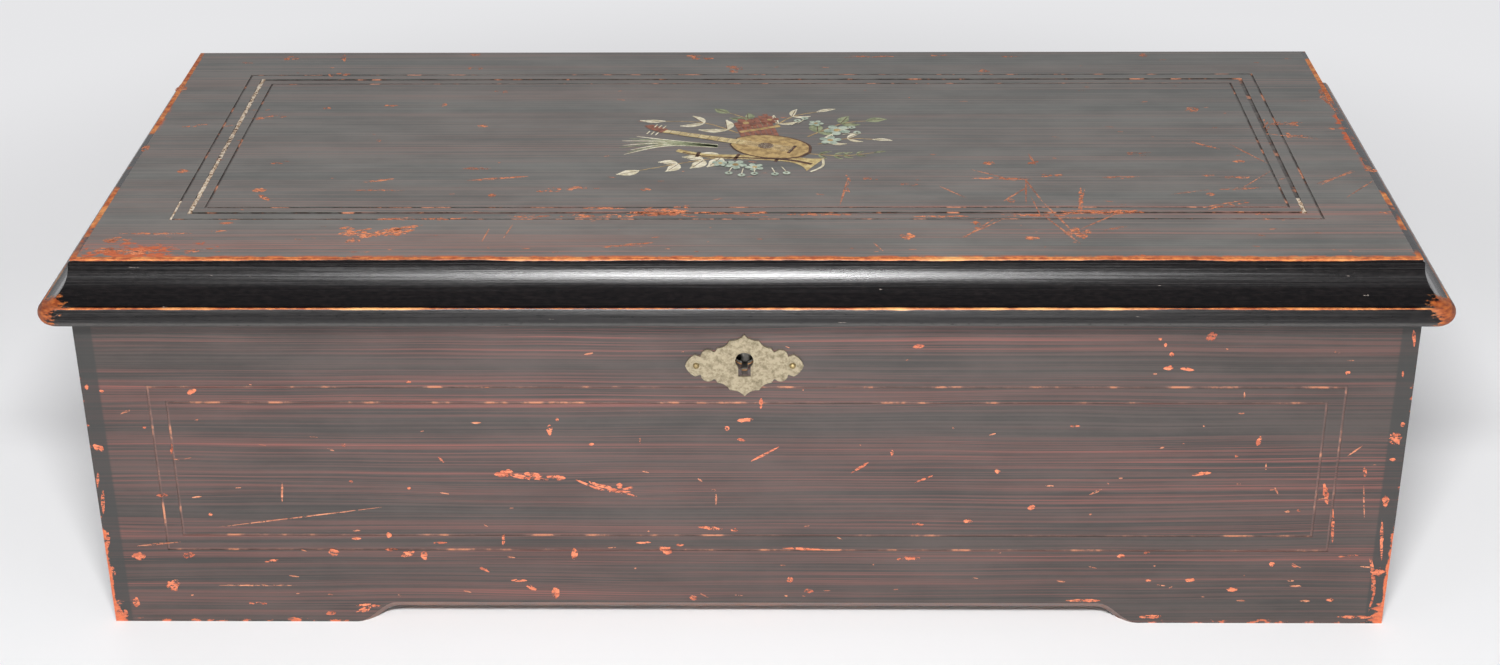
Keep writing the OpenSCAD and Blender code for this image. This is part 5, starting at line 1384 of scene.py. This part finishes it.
@dataclass
class Ornament:
    """A painted musical trophy: a lute across a horn, pipes, reeds, leaf sprays and blossoms.

    x and y are its middle on the lid; its plates are as thin as paint, and layer counts them.
    """

    x: float = 2.0
    y: float = 5.0
    coat: float = 0.012
    sunk: float = 0.01
    lute_place: Point = (-7.4, 2.9)
    lute_turn: float = -21.0
    body: str = "lid"
    slot: str = "grained_wood"
    layer: int = 0

    gold: Finish = TransferPaint("ornament_gold", linear(190, 160, 104), linear(140, 112, 66))
    pale_gold: Finish = TransferPaint(
        "ornament_pale_gold", linear(206, 186, 130), linear(158, 130, 76))
    brown: Finish = TransferPaint("ornament_brown", linear(92, 58, 36), linear(60, 38, 26), 0.2)
    cream: Finish = TransferPaint("ornament_cream", linear(230, 222, 198), linear(190, 178, 144))
    green: Finish = TransferPaint("ornament_green", linear(152, 158, 122), linear(104, 112, 80))
    blue: Finish = TransferPaint("ornament_blue", linear(184, 194, 176), linear(132, 148, 132))
    rose: Finish = TransferPaint("ornament_rose", linear(150, 92, 70), linear(108, 66, 52))

    def add(self, name: str, finish: Finish, outlines: Iterable[Sequence[Point]]) -> None:
        """Paints outlines as one piece, a coat above the last.

        Args:
            name: The piece's name.
            finish: Its paint.
            outlines: Outlines about the ornament's middle.
        """
        mesh = bmesh.new()
        low = LID_TOP - self.sunk + self.layer * self.coat
        for outline in outlines:
            add_plate(mesh, turned(outline, self.x, self.y, 0.0), low, low + self.coat)
        self.layer += 1
        piece_from(mesh, name, finish, self.body)

    @staticmethod
    def leaf(shape: Leaf, x: float, y: float, angle: float, length: float,
             bend: float) -> list[Point]:
        """One leaf from its stalk at (x, y).

        Args:
            shape: Its outline.
            x, y: Where its stalk is.
            angle: Its direction in degrees.
            length: Its length.
            bend: How far its middle rib bends, as a share of its length.

        Returns:
            The outline.
        """
        ribs = shape.value
        steps = 4 * (len(ribs) - 1)

        def half(share: float) -> float:
            """Half-width of the leaf.

            Args:
                share: Where along it, from 0 to 1.

            Returns:
                The half-width, as a share of the length.
            """
            place = share * (len(ribs) - 1)
            i = min(int(place), len(ribs) - 2)
            t = place - i
            t = t * t * (3 - 2 * t)
            return ribs[i] * (1 - t) + ribs[i + 1] * t

        rib = [(i / steps, bend * math.sin(math.pi * i / steps)) for i in range(steps + 1)]
        return turned(ribbon(rib, half), x, y, angle, length)

    @staticmethod
    def disc(x: float, y: float, r: float, count: int = 20) -> list[Point]:
        """A round dot."""
        turns = [math.tau * i / count for i in range(count)]
        return [(x + r * math.cos(a), y + r * math.sin(a)) for a in turns]

    @staticmethod
    def blossom(x: float, y: float, r: float, turn: float) -> list[Point]:
        """A flower with five rounded petals.

        Args:
            x, y: Its middle.
            r: Its radius.
            turn: How far it is turned, in radians.

        Returns:
            The outline.
        """
        petals, steps = 5, 50
        made = []
        for i in range(steps):
            a = math.tau * i / steps
            reach = r * (0.45 + 0.55 * abs(math.sin(petals * a / 2)) ** 0.7)
            made.append((x + reach * math.cos(a + turn), y + reach * math.sin(a + turn)))
        return made

    def spray(self, points: Sequence[Point], leaves: int, length: float,
              shape: Leaf) -> tuple[list[Point], list[list[Point]]]:
        """A stem with pairs of leaves and one at its end.

        Args:
            points: Points of the stem from its foot.
            leaves: Number of pairs.
            length: Length of the longest leaf.
            shape: The leaves' outline.

        Returns:
            The stem's outline and the leaves' outlines.
        """
        curve = smooth_curve(points)

        def heading(k: int) -> float:
            """The stem's direction from its point k to the next, in degrees."""
            (ax, ay), (bx, by) = curve[k], curve[k + 1]
            return math.degrees(math.atan2(by - ay, bx - ax))

        made = []
        for i in range(leaves):
            share = 0.22 + 0.72 * i / leaves
            k = int(share * (len(curve) - 2))
            for side, size in ((-1, 0.88), (1, 1.0)):
                angle = heading(k) + side * (46 - 14 * share)
                grown = length * (1.0 - 0.35 * share) * size
                made.append(self.leaf(shape, *curve[k], angle, grown, 0.1 * side))
        made.append(self.leaf(shape, *curve[-1], heading(len(curve) - 2), length * 0.8, 0.05))
        return ribbon(curve, lambda t: 0.35 * (1 - 0.5 * t)), made

    def build(self) -> None:
        """Paints the whole trophy, from the pieces at its back to those at its front."""
        self.build_reeds_and_sprays()
        self.build_instruments()
        self.build_blossoms()

    def build_reeds_and_sprays(self) -> None:
        """Sprays of leaves all round, and a sheaf of reeds on the left."""
        reeds = []
        for i in range(9):
            spread = (i - 4) / 4
            tip = (-54.0 + 3.0 * abs(spread) + (i % 3) * 2.0, -1.0 + 9.5 * spread)
            curve = smooth_curve([(-14.0, -2.0 + spread), (-34.0, 1.5 + 3.0 * spread), tip])
            reeds.append(ribbon(curve, lambda t: 0.55 * (1 - t) ** 0.6 + 0.12))
        self.add("ornament_reeds", self.cream, reeds[::2])
        self.add("ornament_reeds_dark", self.green, reeds[1::2])
        stems, leaves, pale = [], [], []
        # Points of the stem, pairs of leaves, their length and outline, and whether they are pale.
        layout = (
            (((-6.0, 12.0), (-20.0, 23.0), (-36.0, 25.0)), 2, 13.0, Leaf.LANCE, True),
            (((4.0, 16.0), (-2.0, 27.0), (-10.0, 34.0)), 2, 10.0, Leaf.BROAD, False),
            (((8.0, 18.0), (16.0, 30.0), (26.0, 35.0)), 2, 10.5, Leaf.LANCE, True),
            (((22.0, 8.0), (36.0, 22.0), (46.0, 25.0)), 2, 11.0, Leaf.BROAD, False),
            (((26.0, 0.0), (38.0, 6.0), (48.0, 5.0)), 2, 10.0, Leaf.LANCE, True),
            (((22.0, -10.0), (36.0, -12.0), (48.0, -9.0)), 4, 6.5, Leaf.LANCE, False),
            (((-8.0, -12.0), (-24.0, -18.0), (-44.0, -27.0)), 3, 12.0, Leaf.BROAD, True),
        )
        for points, count, length, shape, light in layout:
            stem, made = self.spray(points, count, length, shape)
            stems.append(stem)
            (pale if light else leaves).extend(made)
        self.add("ornament_stems", self.gold, stems)
        self.add("ornament_leaves", self.green, leaves)
        self.add("ornament_leaves_pale", self.cream, pale)
        ribs = [ribbon(self.rib(outline), lambda t: 0.16) for outline in leaves + pale]
        self.add("ornament_leaf_ribs", self.brown, ribs)

    @staticmethod
    def rib(outline: Sequence[Point]) -> list[Point]:
        """The middle rib of a leaf's outline, from near its stalk to near its tip."""
        (x0, y0), (x1, y1) = outline[0], outline[len(outline) // 2 - 1]
        return [(x0 + (x1 - x0) * share, y0 + (y1 - y0) * share) for share in (0.082, 0.82)]

    def build_instruments(self) -> None:
        """A pan pipe behind, a horn below, and the lute over them."""
        pipes = [turned(bar(0.0, 0.0, 2.0, 17.0 + 1.3 * i), -4.0 + 2.115 * i, 4.0 + 0.7 * i, 12.0)
                 for i in range(7)]
        self.add("ornament_pipes", self.rose, pipes)
        band = turned(bar(0.0, 0.0, 17.5, 2.0), -5.0, 12.0, 22.0)
        self.add("ornament_pipe_band", self.gold, [band])
        tube = smooth_curve(
            [(-30.0, -6.5), (-18.0, -12.0), (-2.0, -13.5), (14.0, -15.5), (25.0, -21.0)])
        bell = 0.78
        horn = ribbon(tube, lambda t: 1.2 + 2.0 * t + 4.6 * (max(t - bell, 0.0) / (1 - bell)) ** 2)
        self.add("ornament_horn", self.pale_gold, [horn])
        shade = ribbon([(x + 0.2, y - 1.0) for x, y in tube[2:-2]], lambda t: 0.35 + 0.55 * t)
        rings = [turned(bar(-0.7, -half, 0.7, half), *tube[6 + i * 8], -10.0 - i * 6)
                 for i, half in enumerate((2.6, 3.1, 3.6))]
        self.add("ornament_horn_shade", self.brown, [shade, *rings])
        lip = ribbon(smooth_curve([(22.8, -28.6), (27.5, -23.0), (27.8, -15.4)]), lambda t: 0.5)
        self.add("ornament_horn_lip", self.cream, [lip])
        side = smooth_curve(
            [(0.0, 3.6), (5.0, 8.6), (13.0, 11.2), (22.0, 10.4), (29.0, 6.4), (31.6, 0.0)])
        bowl = side + [(x, -y) for x, y in side[::-1][1:]]
        self.add("ornament_lute_edge", self.brown, [turned(bowl, -8.0, 3.0, self.lute_turn, 1.06)])
        neck = [(-31.0, -1.5), (4.0, -2.3), (4.0, 2.3), (-31.0, 1.5)]
        peg_box = [(-31.0, -2.2), (-30.0, 2.4), (-38.0, 4.6), (-40.5, 2.4), (-37.6, 0.2)]
        pegs = [bar(-32.5 - 1.9 * i, s * 2.2, -31.9 - 1.9 * i, s * 5.4)
                for i in range(3) for s in (-1, 1)]
        marks = [self.disc(13.5, 0.0, 3.1), bar(24.0, -4.2, 25.3, 4.2)]
        marks += [bar(-28.0 + 4.2 * i, -1.7, -27.7 + 4.2 * i, 1.7) for i in range(8)]
        strings = [[(-30.0, y * 0.35 - 0.07), (24.6, y - 0.07),
                    (24.6, y + 0.07), (-30.0, y * 0.35 + 0.07)]
                   for y in (-2.4, -1.2, 0.0, 1.2, 2.4)]
        for name, finish, outlines in (
                ("lute_bowl", self.gold, [bowl]), ("lute_neck", self.pale_gold, [neck]),
                ("peg_box", self.rose, [peg_box]), ("pegs", self.cream, pegs),
                ("lute_marks", self.brown, marks), ("strings", self.cream, strings)):
            self.add(f"ornament_{name}", finish,
                     [turned(outline, *self.lute_place, self.lute_turn) for outline in outlines])

    def build_blossoms(self) -> None:
        """Blossoms with round hearts, and berries on fine stalks."""
        roses = ((-3.0, 22.5, 5.2, 0.3), (6.5, 26.0, 4.0, 0.9))
        blue = ((34.0, 14.5, 5.6, 0.2), (31.0, 3.8, 4.6, 0.8), (-6.5, -21.5, 4.6, 0.4),
                (1.0, -24.0, 3.8, 0.1), (25.5, 22.0, 3.2, 0.5), (-12.5, -20.0, 3.4, 0.9))
        self.add("ornament_roses", self.rose, [self.blossom(*flower) for flower in roses])
        self.add("ornament_blossoms", self.blue, [self.blossom(*flower) for flower in blue])
        hearts = [self.disc(x, y, r * 0.26) for x, y, r, _ in roses + blue]
        self.add("ornament_hearts", self.gold, hearts)
        berries = ((-9.0, -30.0), (-4.0, -32.0), (1.0, -30.5), (9.0, -31.0), (13.5, -30.0),
                   (40.0, 17.5), (42.0, 12.0), (21.0, 27.5), (18.0, 25.0))
        stalks = [ribbon([(x * 0.86, y * 0.80), (x * 0.95, y * 0.9), (x, y)], lambda t: 0.2)
                  for x, y in berries]
        self.add("ornament_stalks", self.cream, stalks)
        self.add("ornament_berries", self.blue, [self.disc(x, y, 1.5, 14) for x, y in berries])
        self.add("ornament_berry_dots", self.brown, [self.disc(x, y, 0.5, 8) for x, y in berries])


# ---- Sub-assemblies ------------------------------------------------------------------------------


@dataclass
class Case:
    """The painted case: four panels on cut-out feet, and what is fixed inside it."""

    front: Finish = GrainedPaint("front_graining", Face.FRONT, 1.0, red_share=0.9)
    ends: Finish = GrainedPaint("end_graining", Face.END, 21.0, half_long=112.0, red_share=0.8)
    back: Finish = GrainedPaint("back_graining", Face.FRONT, 41.0, red_share=0.3)
    softwood: Finish = PlainWood("softwood", along="x")
    cross_wood: Finish = PlainWood(
        "cross_grain_beech", linear(150, 100, 62), linear(104, 64, 38), "y", 0.5)
    ledge_wood: Finish = PlainWood(
        "ledge_beech", linear(150, 100, 62), linear(104, 64, 38), "y", 0.45)
    plate: Finish = Metal(
        "escutcheon_brass", linear(154, 143, 119), linear(108, 97, 75), linear(66, 56, 42),
        (1.2, 1.2, 1.2), 0.5, 0.95, 0.5, 0.1, 0.45)
    pins: Finish = Metal(
        "pin_brass", linear(150, 132, 92), linear(96, 80, 52), rough=0.4, dull=0.6)
    lock: Finish = Metal(
        "lock_steel", linear(150, 148, 142), linear(98, 84, 70), brushed=(0.2, 2.0, 2.0))
    hinge: Finish = Metal(
        "hinge_brass", linear(168, 142, 88), linear(104, 82, 48), brushed=(0.3, 2.0, 2.0),
        rough=0.38, dull=0.7)
    screw: Finish = Metal("screw_steel", linear(150, 146, 138), linear(96, 88, 80), rough=0.32)
    wear: WornMarks = field(default_factory=lambda: WornMarks(
        "front_panel", Face.FRONT, FRONT_MARKS, "case", FRONT_Y,
        (-236.0, 12.0, 236.0, 122.0), 70, 5))

    def dress(self) -> None:
        """Dresses the case's own nodes."""
        dress(self.front, "front_panel")
        dress(self.back, "back_panel")
        dress(self.ends, "left_end", "right_end")
        dress(self.softwood, "bottom_board")
        dress(self.cross_wood, "left_partition", "right_partition")
        dress(self.ledge_wood, "cover_ledges")
        dress(self.plate, "escutcheon")
        dress(self.pins, "escutcheon_pins", "hinge_pins")
        dress(self.lock, "lock_case", "lock_bolt", "lock_link_plate")
        dress(self.hinge, "case_hinge_leaves", "lid_hinge_leaves")
        dress(self.screw, "case_screws", "lid_screws")


@dataclass
class Lid:
    """The lid: a grained panel in a black moulding, with what is left of a line inlay.

    half_x, front_y and back_y are the panel's edges.
    """

    half_x: float = 215.0
    front_y: float = -68.95
    back_y: float = 84.55
    line_gap: float = 5.4
    line_width: float = 0.9
    inlay_width: float = 1.7
    panel: Finish = GrainedPaint(
        "lid_graining", Face.TOP, 61.0, red_share=0.8, dark=linear(112, 111, 107),
        deep=linear(80, 82, 79), red=linear(146, 98, 86), line=linear(50, 42, 38), rough=0.42)
    polish: Finish = BlackPolish("lid_polish")
    rail: Finish = GrainedPaint("rail_graining", Face.FRONT, 81.0, red_share=0.3)
    inlay: Finish = LineInlay("line_inlay")
    wear: WornMarks = field(default_factory=lambda: WornMarks(
        "lid_panel", Face.TOP, LID_MARKS, "lid", LID_TOP,
        (-236.0, -98.0, 236.0, 104.0), 120, 11,
        ground=BareGround("lid_chipped_ground", linear(226, 138, 94), linear(164, 92, 62), 0.5)))

    def dress(self) -> None:
        """Dresses the lid's own nodes."""
        dress(self.panel, "lid_panel")
        dress(self.polish, "lid_front_moulding", "lid_side_mouldings")
        dress(self.rail, "lid_back_rail")

    def build_inlay(self) -> None:
        """What is left of it: the whole left line, a stub beside it and a stub at the right."""
        middle = self.half_x - self.line_gap - self.inlay_width / 2
        outer = self.half_x - self.line_width / 2
        low = self.front_y + self.line_gap
        high = self.back_y - self.line_gap
        mesh = bmesh.new()
        draw = random.Random(7)
        self._strip(mesh, -middle, low, high, self.inlay_width, draw)
        self._strip(mesh, -outer, low - 5.0, low + 12.0, self.line_width, draw)
        self._strip(mesh, middle, low + 1.0, low + 14.0, self.inlay_width, draw)
        piece_from(mesh, "lid_line_inlay", self.inlay, "lid")

    def _strip(self, mesh: bmesh.types.BMesh, x: float, y0: float, y1: float, width: float,
               draw: random.Random) -> None:
        """One worn strip along Y.

        Args:
            mesh: The mesh that it goes into.
            x: Its middle line.
            y0, y1: Its ends.
            width: Its full width.
            draw: Where its wear comes from.
        """
        steps = max(int((y1 - y0) / 1.5), 4)
        left, right = [], []
        for i in range(steps + 1):
            y = y0 + (y1 - y0) * i / steps
            left.append((x - width * (0.5 - 0.22 * draw.random() ** 2), y))
            right.append((x + width * (0.5 - 0.22 * draw.random() ** 2), y))
        add_plate(mesh, right + left[::-1], LID_TOP - 0.45, LID_TOP - 0.03)


@dataclass
class Cover:
    """The glazed inner cover."""

    wood: Finish = PlainWood("cover_beech", linear(140, 92, 56), linear(94, 58, 34), "x", 0.4, 0.25)
    pane: Finish = Pane("window_glass")
    bone: Finish = Bone("turned_bone")

    def dress(self) -> None:
        """Dresses the cover's nodes."""
        dress(self.wood, "cover_frame")
        dress(self.pane, "cover_glass")
        dress(self.bone, "cover_knob")


@dataclass
class Movement:
    """The wound movement: bedplate, comb, pinned cylinder, gear train and governor.

    cylinder_y and axis_z are the cylinder's axis, and comb_x the ends of the comb's teeth.
    """

    cylinder_y: float = 27.0
    axis_z: float = 69.0
    cylinder_r: float = 25.0
    pin_r: float = 0.26
    pin_tip: float = 26.2
    teeth: int = 60
    comb_x: tuple[float, float] = (-77.0, 109.0)
    iron: Finish = CastIron("bedplate_iron")
    brass: Finish = Metal(
        "cylinder_brass", linear(216, 184, 116), linear(168, 134, 78), brushed=(3.0, 0.3, 0.3),
        rough=0.28, dull=0.32, depth=0.015, clouds=0.04)
    wheel: Finish = Metal(
        "wheel_brass", linear(208, 176, 104), linear(142, 110, 60), brushed=(0.2, 2.5, 2.5),
        rough=0.24)
    plate: Finish = Metal(
        "plate_brass", linear(196, 162, 94), linear(134, 104, 56), brushed=(0.2, 2.0, 0.6),
        rough=0.3)
    steel: Finish = Metal(
        "comb_steel", linear(184, 184, 182), linear(136, 130, 122), linear(80, 62, 48),
        (3.0, 0.12, 0.6), 0.26, 0.25, depth=0.015, clouds=0.05)
    bright: Finish = Metal(
        "bright_steel", linear(168, 168, 166), linear(118, 112, 106), brushed=(0.3, 2.0, 2.0))
    blued: Finish = Metal(
        "blued_steel", linear(66, 74, 100), linear(46, 46, 58), linear(40, 34, 30), rough=0.22)
    spring: Finish = Metal(
        "spring_steel", linear(120, 120, 124), linear(84, 78, 76), linear(60, 48, 38),
        (0.2, 0.2, 2.0), 0.28)
    pin_steel: Finish = Metal(
        "pin_steel", linear(186, 182, 170), linear(130, 118, 96), rough=0.3)

    def dress(self) -> None:
        """Dresses the movement's nodes."""
        dress(self.iron, "bedplate")
        dress(self.bright, "bedplate_bolts", "cylinder_arbor", "cylinder_pinion", "winding_arbor",
              "stop_lever", "change_lever")
        dress(self.blued, "movement_screws", "comb_screws", "ratchet_click", "lever_pawl",
              "cylinder_return_spring")
        dress(self.plate, "barrel_bridge", "middle_bridge", "cylinder_bridge", "governor_frame",
              "governor_cock", "comb_base", "barrel_cover")
        dress(self.steel, "comb", "ratchet_wheel")
        dress(self.wheel, "barrel_wheel", "great_wheel", "tune_snail", "governor_first_wheel",
              "governor_second_wheel", "fan")
        dress(self.brass, "music_cylinder", "cylinder_end_caps", "barrel_drum")
        dress(self.spring, "mainspring", "endless_screw")

    def build_pins(self) -> None:
        """Sets the cylinder's pins: for each tooth of the comb, the notes of one tune round it."""
        draw = random.Random(1886)
        tune_shifts = (-0.9, -0.45, 0.0, 0.45, 0.9)
        mesh = bmesh.new()
        x0, x1 = self.comb_x
        pitch = (x1 - x0) / self.teeth
        for tooth in range(self.teeth):
            for _ in range(draw.randint(18, 40)):
                angle = draw.uniform(0.0, math.tau)
                x = x0 + (tooth + 0.5) * pitch + draw.choice(tune_shifts)
                self._pin(mesh, x, angle)
        pins = piece_from(mesh, "tune_pins", self.pin_steel, "cylinder")
        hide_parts("cylinder_pins")

    def _pin(self, mesh: bmesh.types.BMesh, x: float, angle: float) -> None:
        """One pin that stands out of the cylinder.

        Args:
            mesh: The mesh that it goes into.
            x: Its place along the cylinder.
            angle: Its place round it.
        """
        outward = Vector((0.0, math.cos(angle), math.sin(angle)))
        around = Vector((0.0, -math.sin(angle), math.cos(angle)))
        centre = Vector((x, self.cylinder_y, self.axis_z))
        rings = []
        for radius, size in ((self.cylinder_r - 0.4, 1.0), (self.pin_tip, 0.8)):
            ring = []
            for k in range(5):
                a = math.tau * k / 5
                offset = Vector((math.cos(a), 0.0, 0.0)) + around * math.sin(a)
                ring.append(mesh.verts.new(centre + outward * radius + offset * self.pin_r * size))
            rings.append(ring)
        low, high = rings
        mesh.faces.new(high)
        mesh.faces.new(low[::-1])
        for k in range(5):
            j = (k + 1) % 5
            mesh.faces.new((low[k], low[j], high[j], high[k]))


@dataclass
class Winding:
    """The winding lever with its turned grip."""

    steel: Finish = Metal(
        "lever_steel", linear(150, 148, 144), linear(104, 94, 84), brushed=(2.0, 0.3, 0.3),
        rough=0.3, dull=0.5)
    grip: Finish = PlainWood(
        "ebonised_grip", linear(52, 34, 26), linear(26, 18, 15), "x", 0.3, 0.4)

    def dress(self) -> None:
        """Dresses the lever's nodes."""
        dress(self.steel, "winding_lever")
        dress(self.grip, "lever_handle")


# ---- Studio --------------------------------------------------------------------------------------


@dataclass(frozen=True)
class Lamp:
    """A softbox, in metres and watts.

    mirrored says whether polish shows it, and lights whether matt surfaces are lit by it.
    """

    name: str
    place: Place
    target: Place
    size: Point
    power: float
    mirrored: bool = True
    lights: bool = True

    def build(self) -> None:
        """Hangs the softbox."""
        data = bpy.data.lights.new(self.name, "AREA")
        data.shape = "RECTANGLE"
        data.size, data.size_y = self.size
        data.energy = self.power
        lamp = bpy.data.objects.new(self.name, data)
        bpy.context.scene.collection.objects.link(lamp)
        place = Vector(self.place)
        lamp.location = place
        lamp.rotation_euler = (Vector(self.target) - place).to_track_quat("-Z", "Y").to_euler()
        lamp.visible_glossy = self.mirrored
        lamp.visible_diffuse = self.lights


# Where the key lamps hang, and what the lamps point at, in metres.
KEY_PLACE: Place = (-0.045, -1.6, 0.27)
LID_EDGE: Place = (0.0, -0.10, 0.14)
CASE_FOOT: Place = (0.0, 0.0, 0.05)
CASE_MIDDLE: Place = (0.0, 0.0, 0.1)


@dataclass
class Studio:
    """A pale paper floor, softboxes, a plain world and the camera, whose angles are in degrees."""

    camera_place: Place = (14.26, -875.69, 512.64)
    pitch: float = 26.695
    yaw: float = -0.903
    roll: float = -0.394
    lens: float = 56.905
    paper: Finish = StudioPaper("studio_paper")
    lamps: tuple[Lamp, ...] = (
        Lamp("key_softbox", KEY_PLACE, LID_EDGE, (0.27, 0.27), 10.0),
        Lamp("polish_strip", KEY_PLACE, LID_EDGE, (0.30, 0.30), 20.0, lights=False),
        Lamp("front_softbox", (0.0, -0.84, 0.75), CASE_FOOT, (0.30, 0.10), 12.5, mirrored=False),
        Lamp("left_softbox", (-1.3, -1.1, 1.25), CASE_FOOT, (0.8, 0.8), 1.5, mirrored=False),
        Lamp("right_softbox", (1.3, -1.1, 1.25), CASE_FOOT, (0.8, 0.8), 1.5, mirrored=False),
        Lamp("back_softbox", (0.0, 1.5, 1.7), CASE_MIDDLE, (2.4, 1.0), 7.0, mirrored=False),
    )

    def build_floor(self) -> None:
        """Lays the paper."""
        mesh = bmesh.new()
        bmesh.ops.create_grid(mesh, x_segments=8, y_segments=8, size=6.0)
        data = bpy.data.meshes.new("studio_floor")
        mesh.to_mesh(data)
        mesh.free()
        data.materials.append(self.paper.material())
        floor = bpy.data.objects.new("studio_floor", data)
        bpy.context.scene.collection.objects.link(floor)

    def build_world(self) -> None:
        """A plain world: pale behind the object, dimmer above and in front of it."""
        world = bpy.data.worlds.new("studio_world")
        bpy.context.scene.world = world
        world.use_nodes = True
        g = Graph(world.node_tree)
        heading = g.node("ShaderNodeTexCoord")["Generated"]
        _, y, z = g.split(heading)
        back = y.ramp(-0.1, 0.5) * z.ramp(0.9, 0.4)
        tone = g.mix(z.ramp(0.35, 0.7), linear(130, 130, 132), linear(92, 92, 94))
        tone = g.mix(back, tone, linear(200, 200, 202))
        seen = g.node("ShaderNodeLightPath")["Is Camera Ray"]
        tone = g.mix(seen, tone, linear(228, 228, 229))
        sky = g.node("ShaderNodeBackground", None, {"Color": tone, "Strength": 1.0})
        made = g.node("ShaderNodeOutputWorld")
        g.tree.links.new(sky.node.outputs[0], made.node.inputs["Surface"])

    def build_camera(self) -> None:
        """Sets the camera by its place, angles and lens."""
        pitch, yaw, roll = (math.radians(a) for a in (self.pitch, self.yaw, self.roll))
        level = Vector((math.sin(yaw), math.cos(yaw), 0.0))
        ahead = level * math.cos(pitch) - Vector((0.0, 0.0, math.sin(pitch)))
        right = Vector((math.cos(yaw), -math.sin(yaw), 0.0))
        up = right.cross(ahead)
        rolled_right = right * math.cos(roll) + up * math.sin(roll)
        rolled_up = up * math.cos(roll) - right * math.sin(roll)
        data = bpy.data.cameras.new("studio_camera")
        data.lens = self.lens
        data.sensor_width = 36.0
        camera = bpy.data.objects.new("studio_camera", data)
        turn = Matrix((rolled_right, rolled_up, -ahead)).transposed().to_4x4()
        camera.matrix_world = Matrix.Translation(Vector(self.camera_place) * MM) @ turn
        bpy.context.scene.collection.objects.link(camera)
        bpy.context.scene.camera = camera

    def build(self) -> None:
        """Sets up floor, world, lamps and camera."""
        scene = bpy.context.scene
        scene.view_settings.view_transform = "Standard"
        self.build_floor()
        self.build_world()
        for lamp in self.lamps:
            lamp.build()
        self.build_camera()
        LOG.info("studio ready with %d lamps", len(self.lamps))


def main() -> None:
    """Builds the music box from the outside in, then its studio."""
    logging.basicConfig(level=logging.INFO, format="%(name)s: %(message)s")
    case = Case()
    case.dress()
    case.wear.build()
    lid = Lid()
    lid.dress()
    lid.build_inlay()
    lid.wear.build()
    Ornament().build()
    Cover().dress()
    movement = Movement()
    movement.dress()
    movement.build_pins()
    Winding().dress()
    Studio().build()


if __name__ == "__main__":
    main()
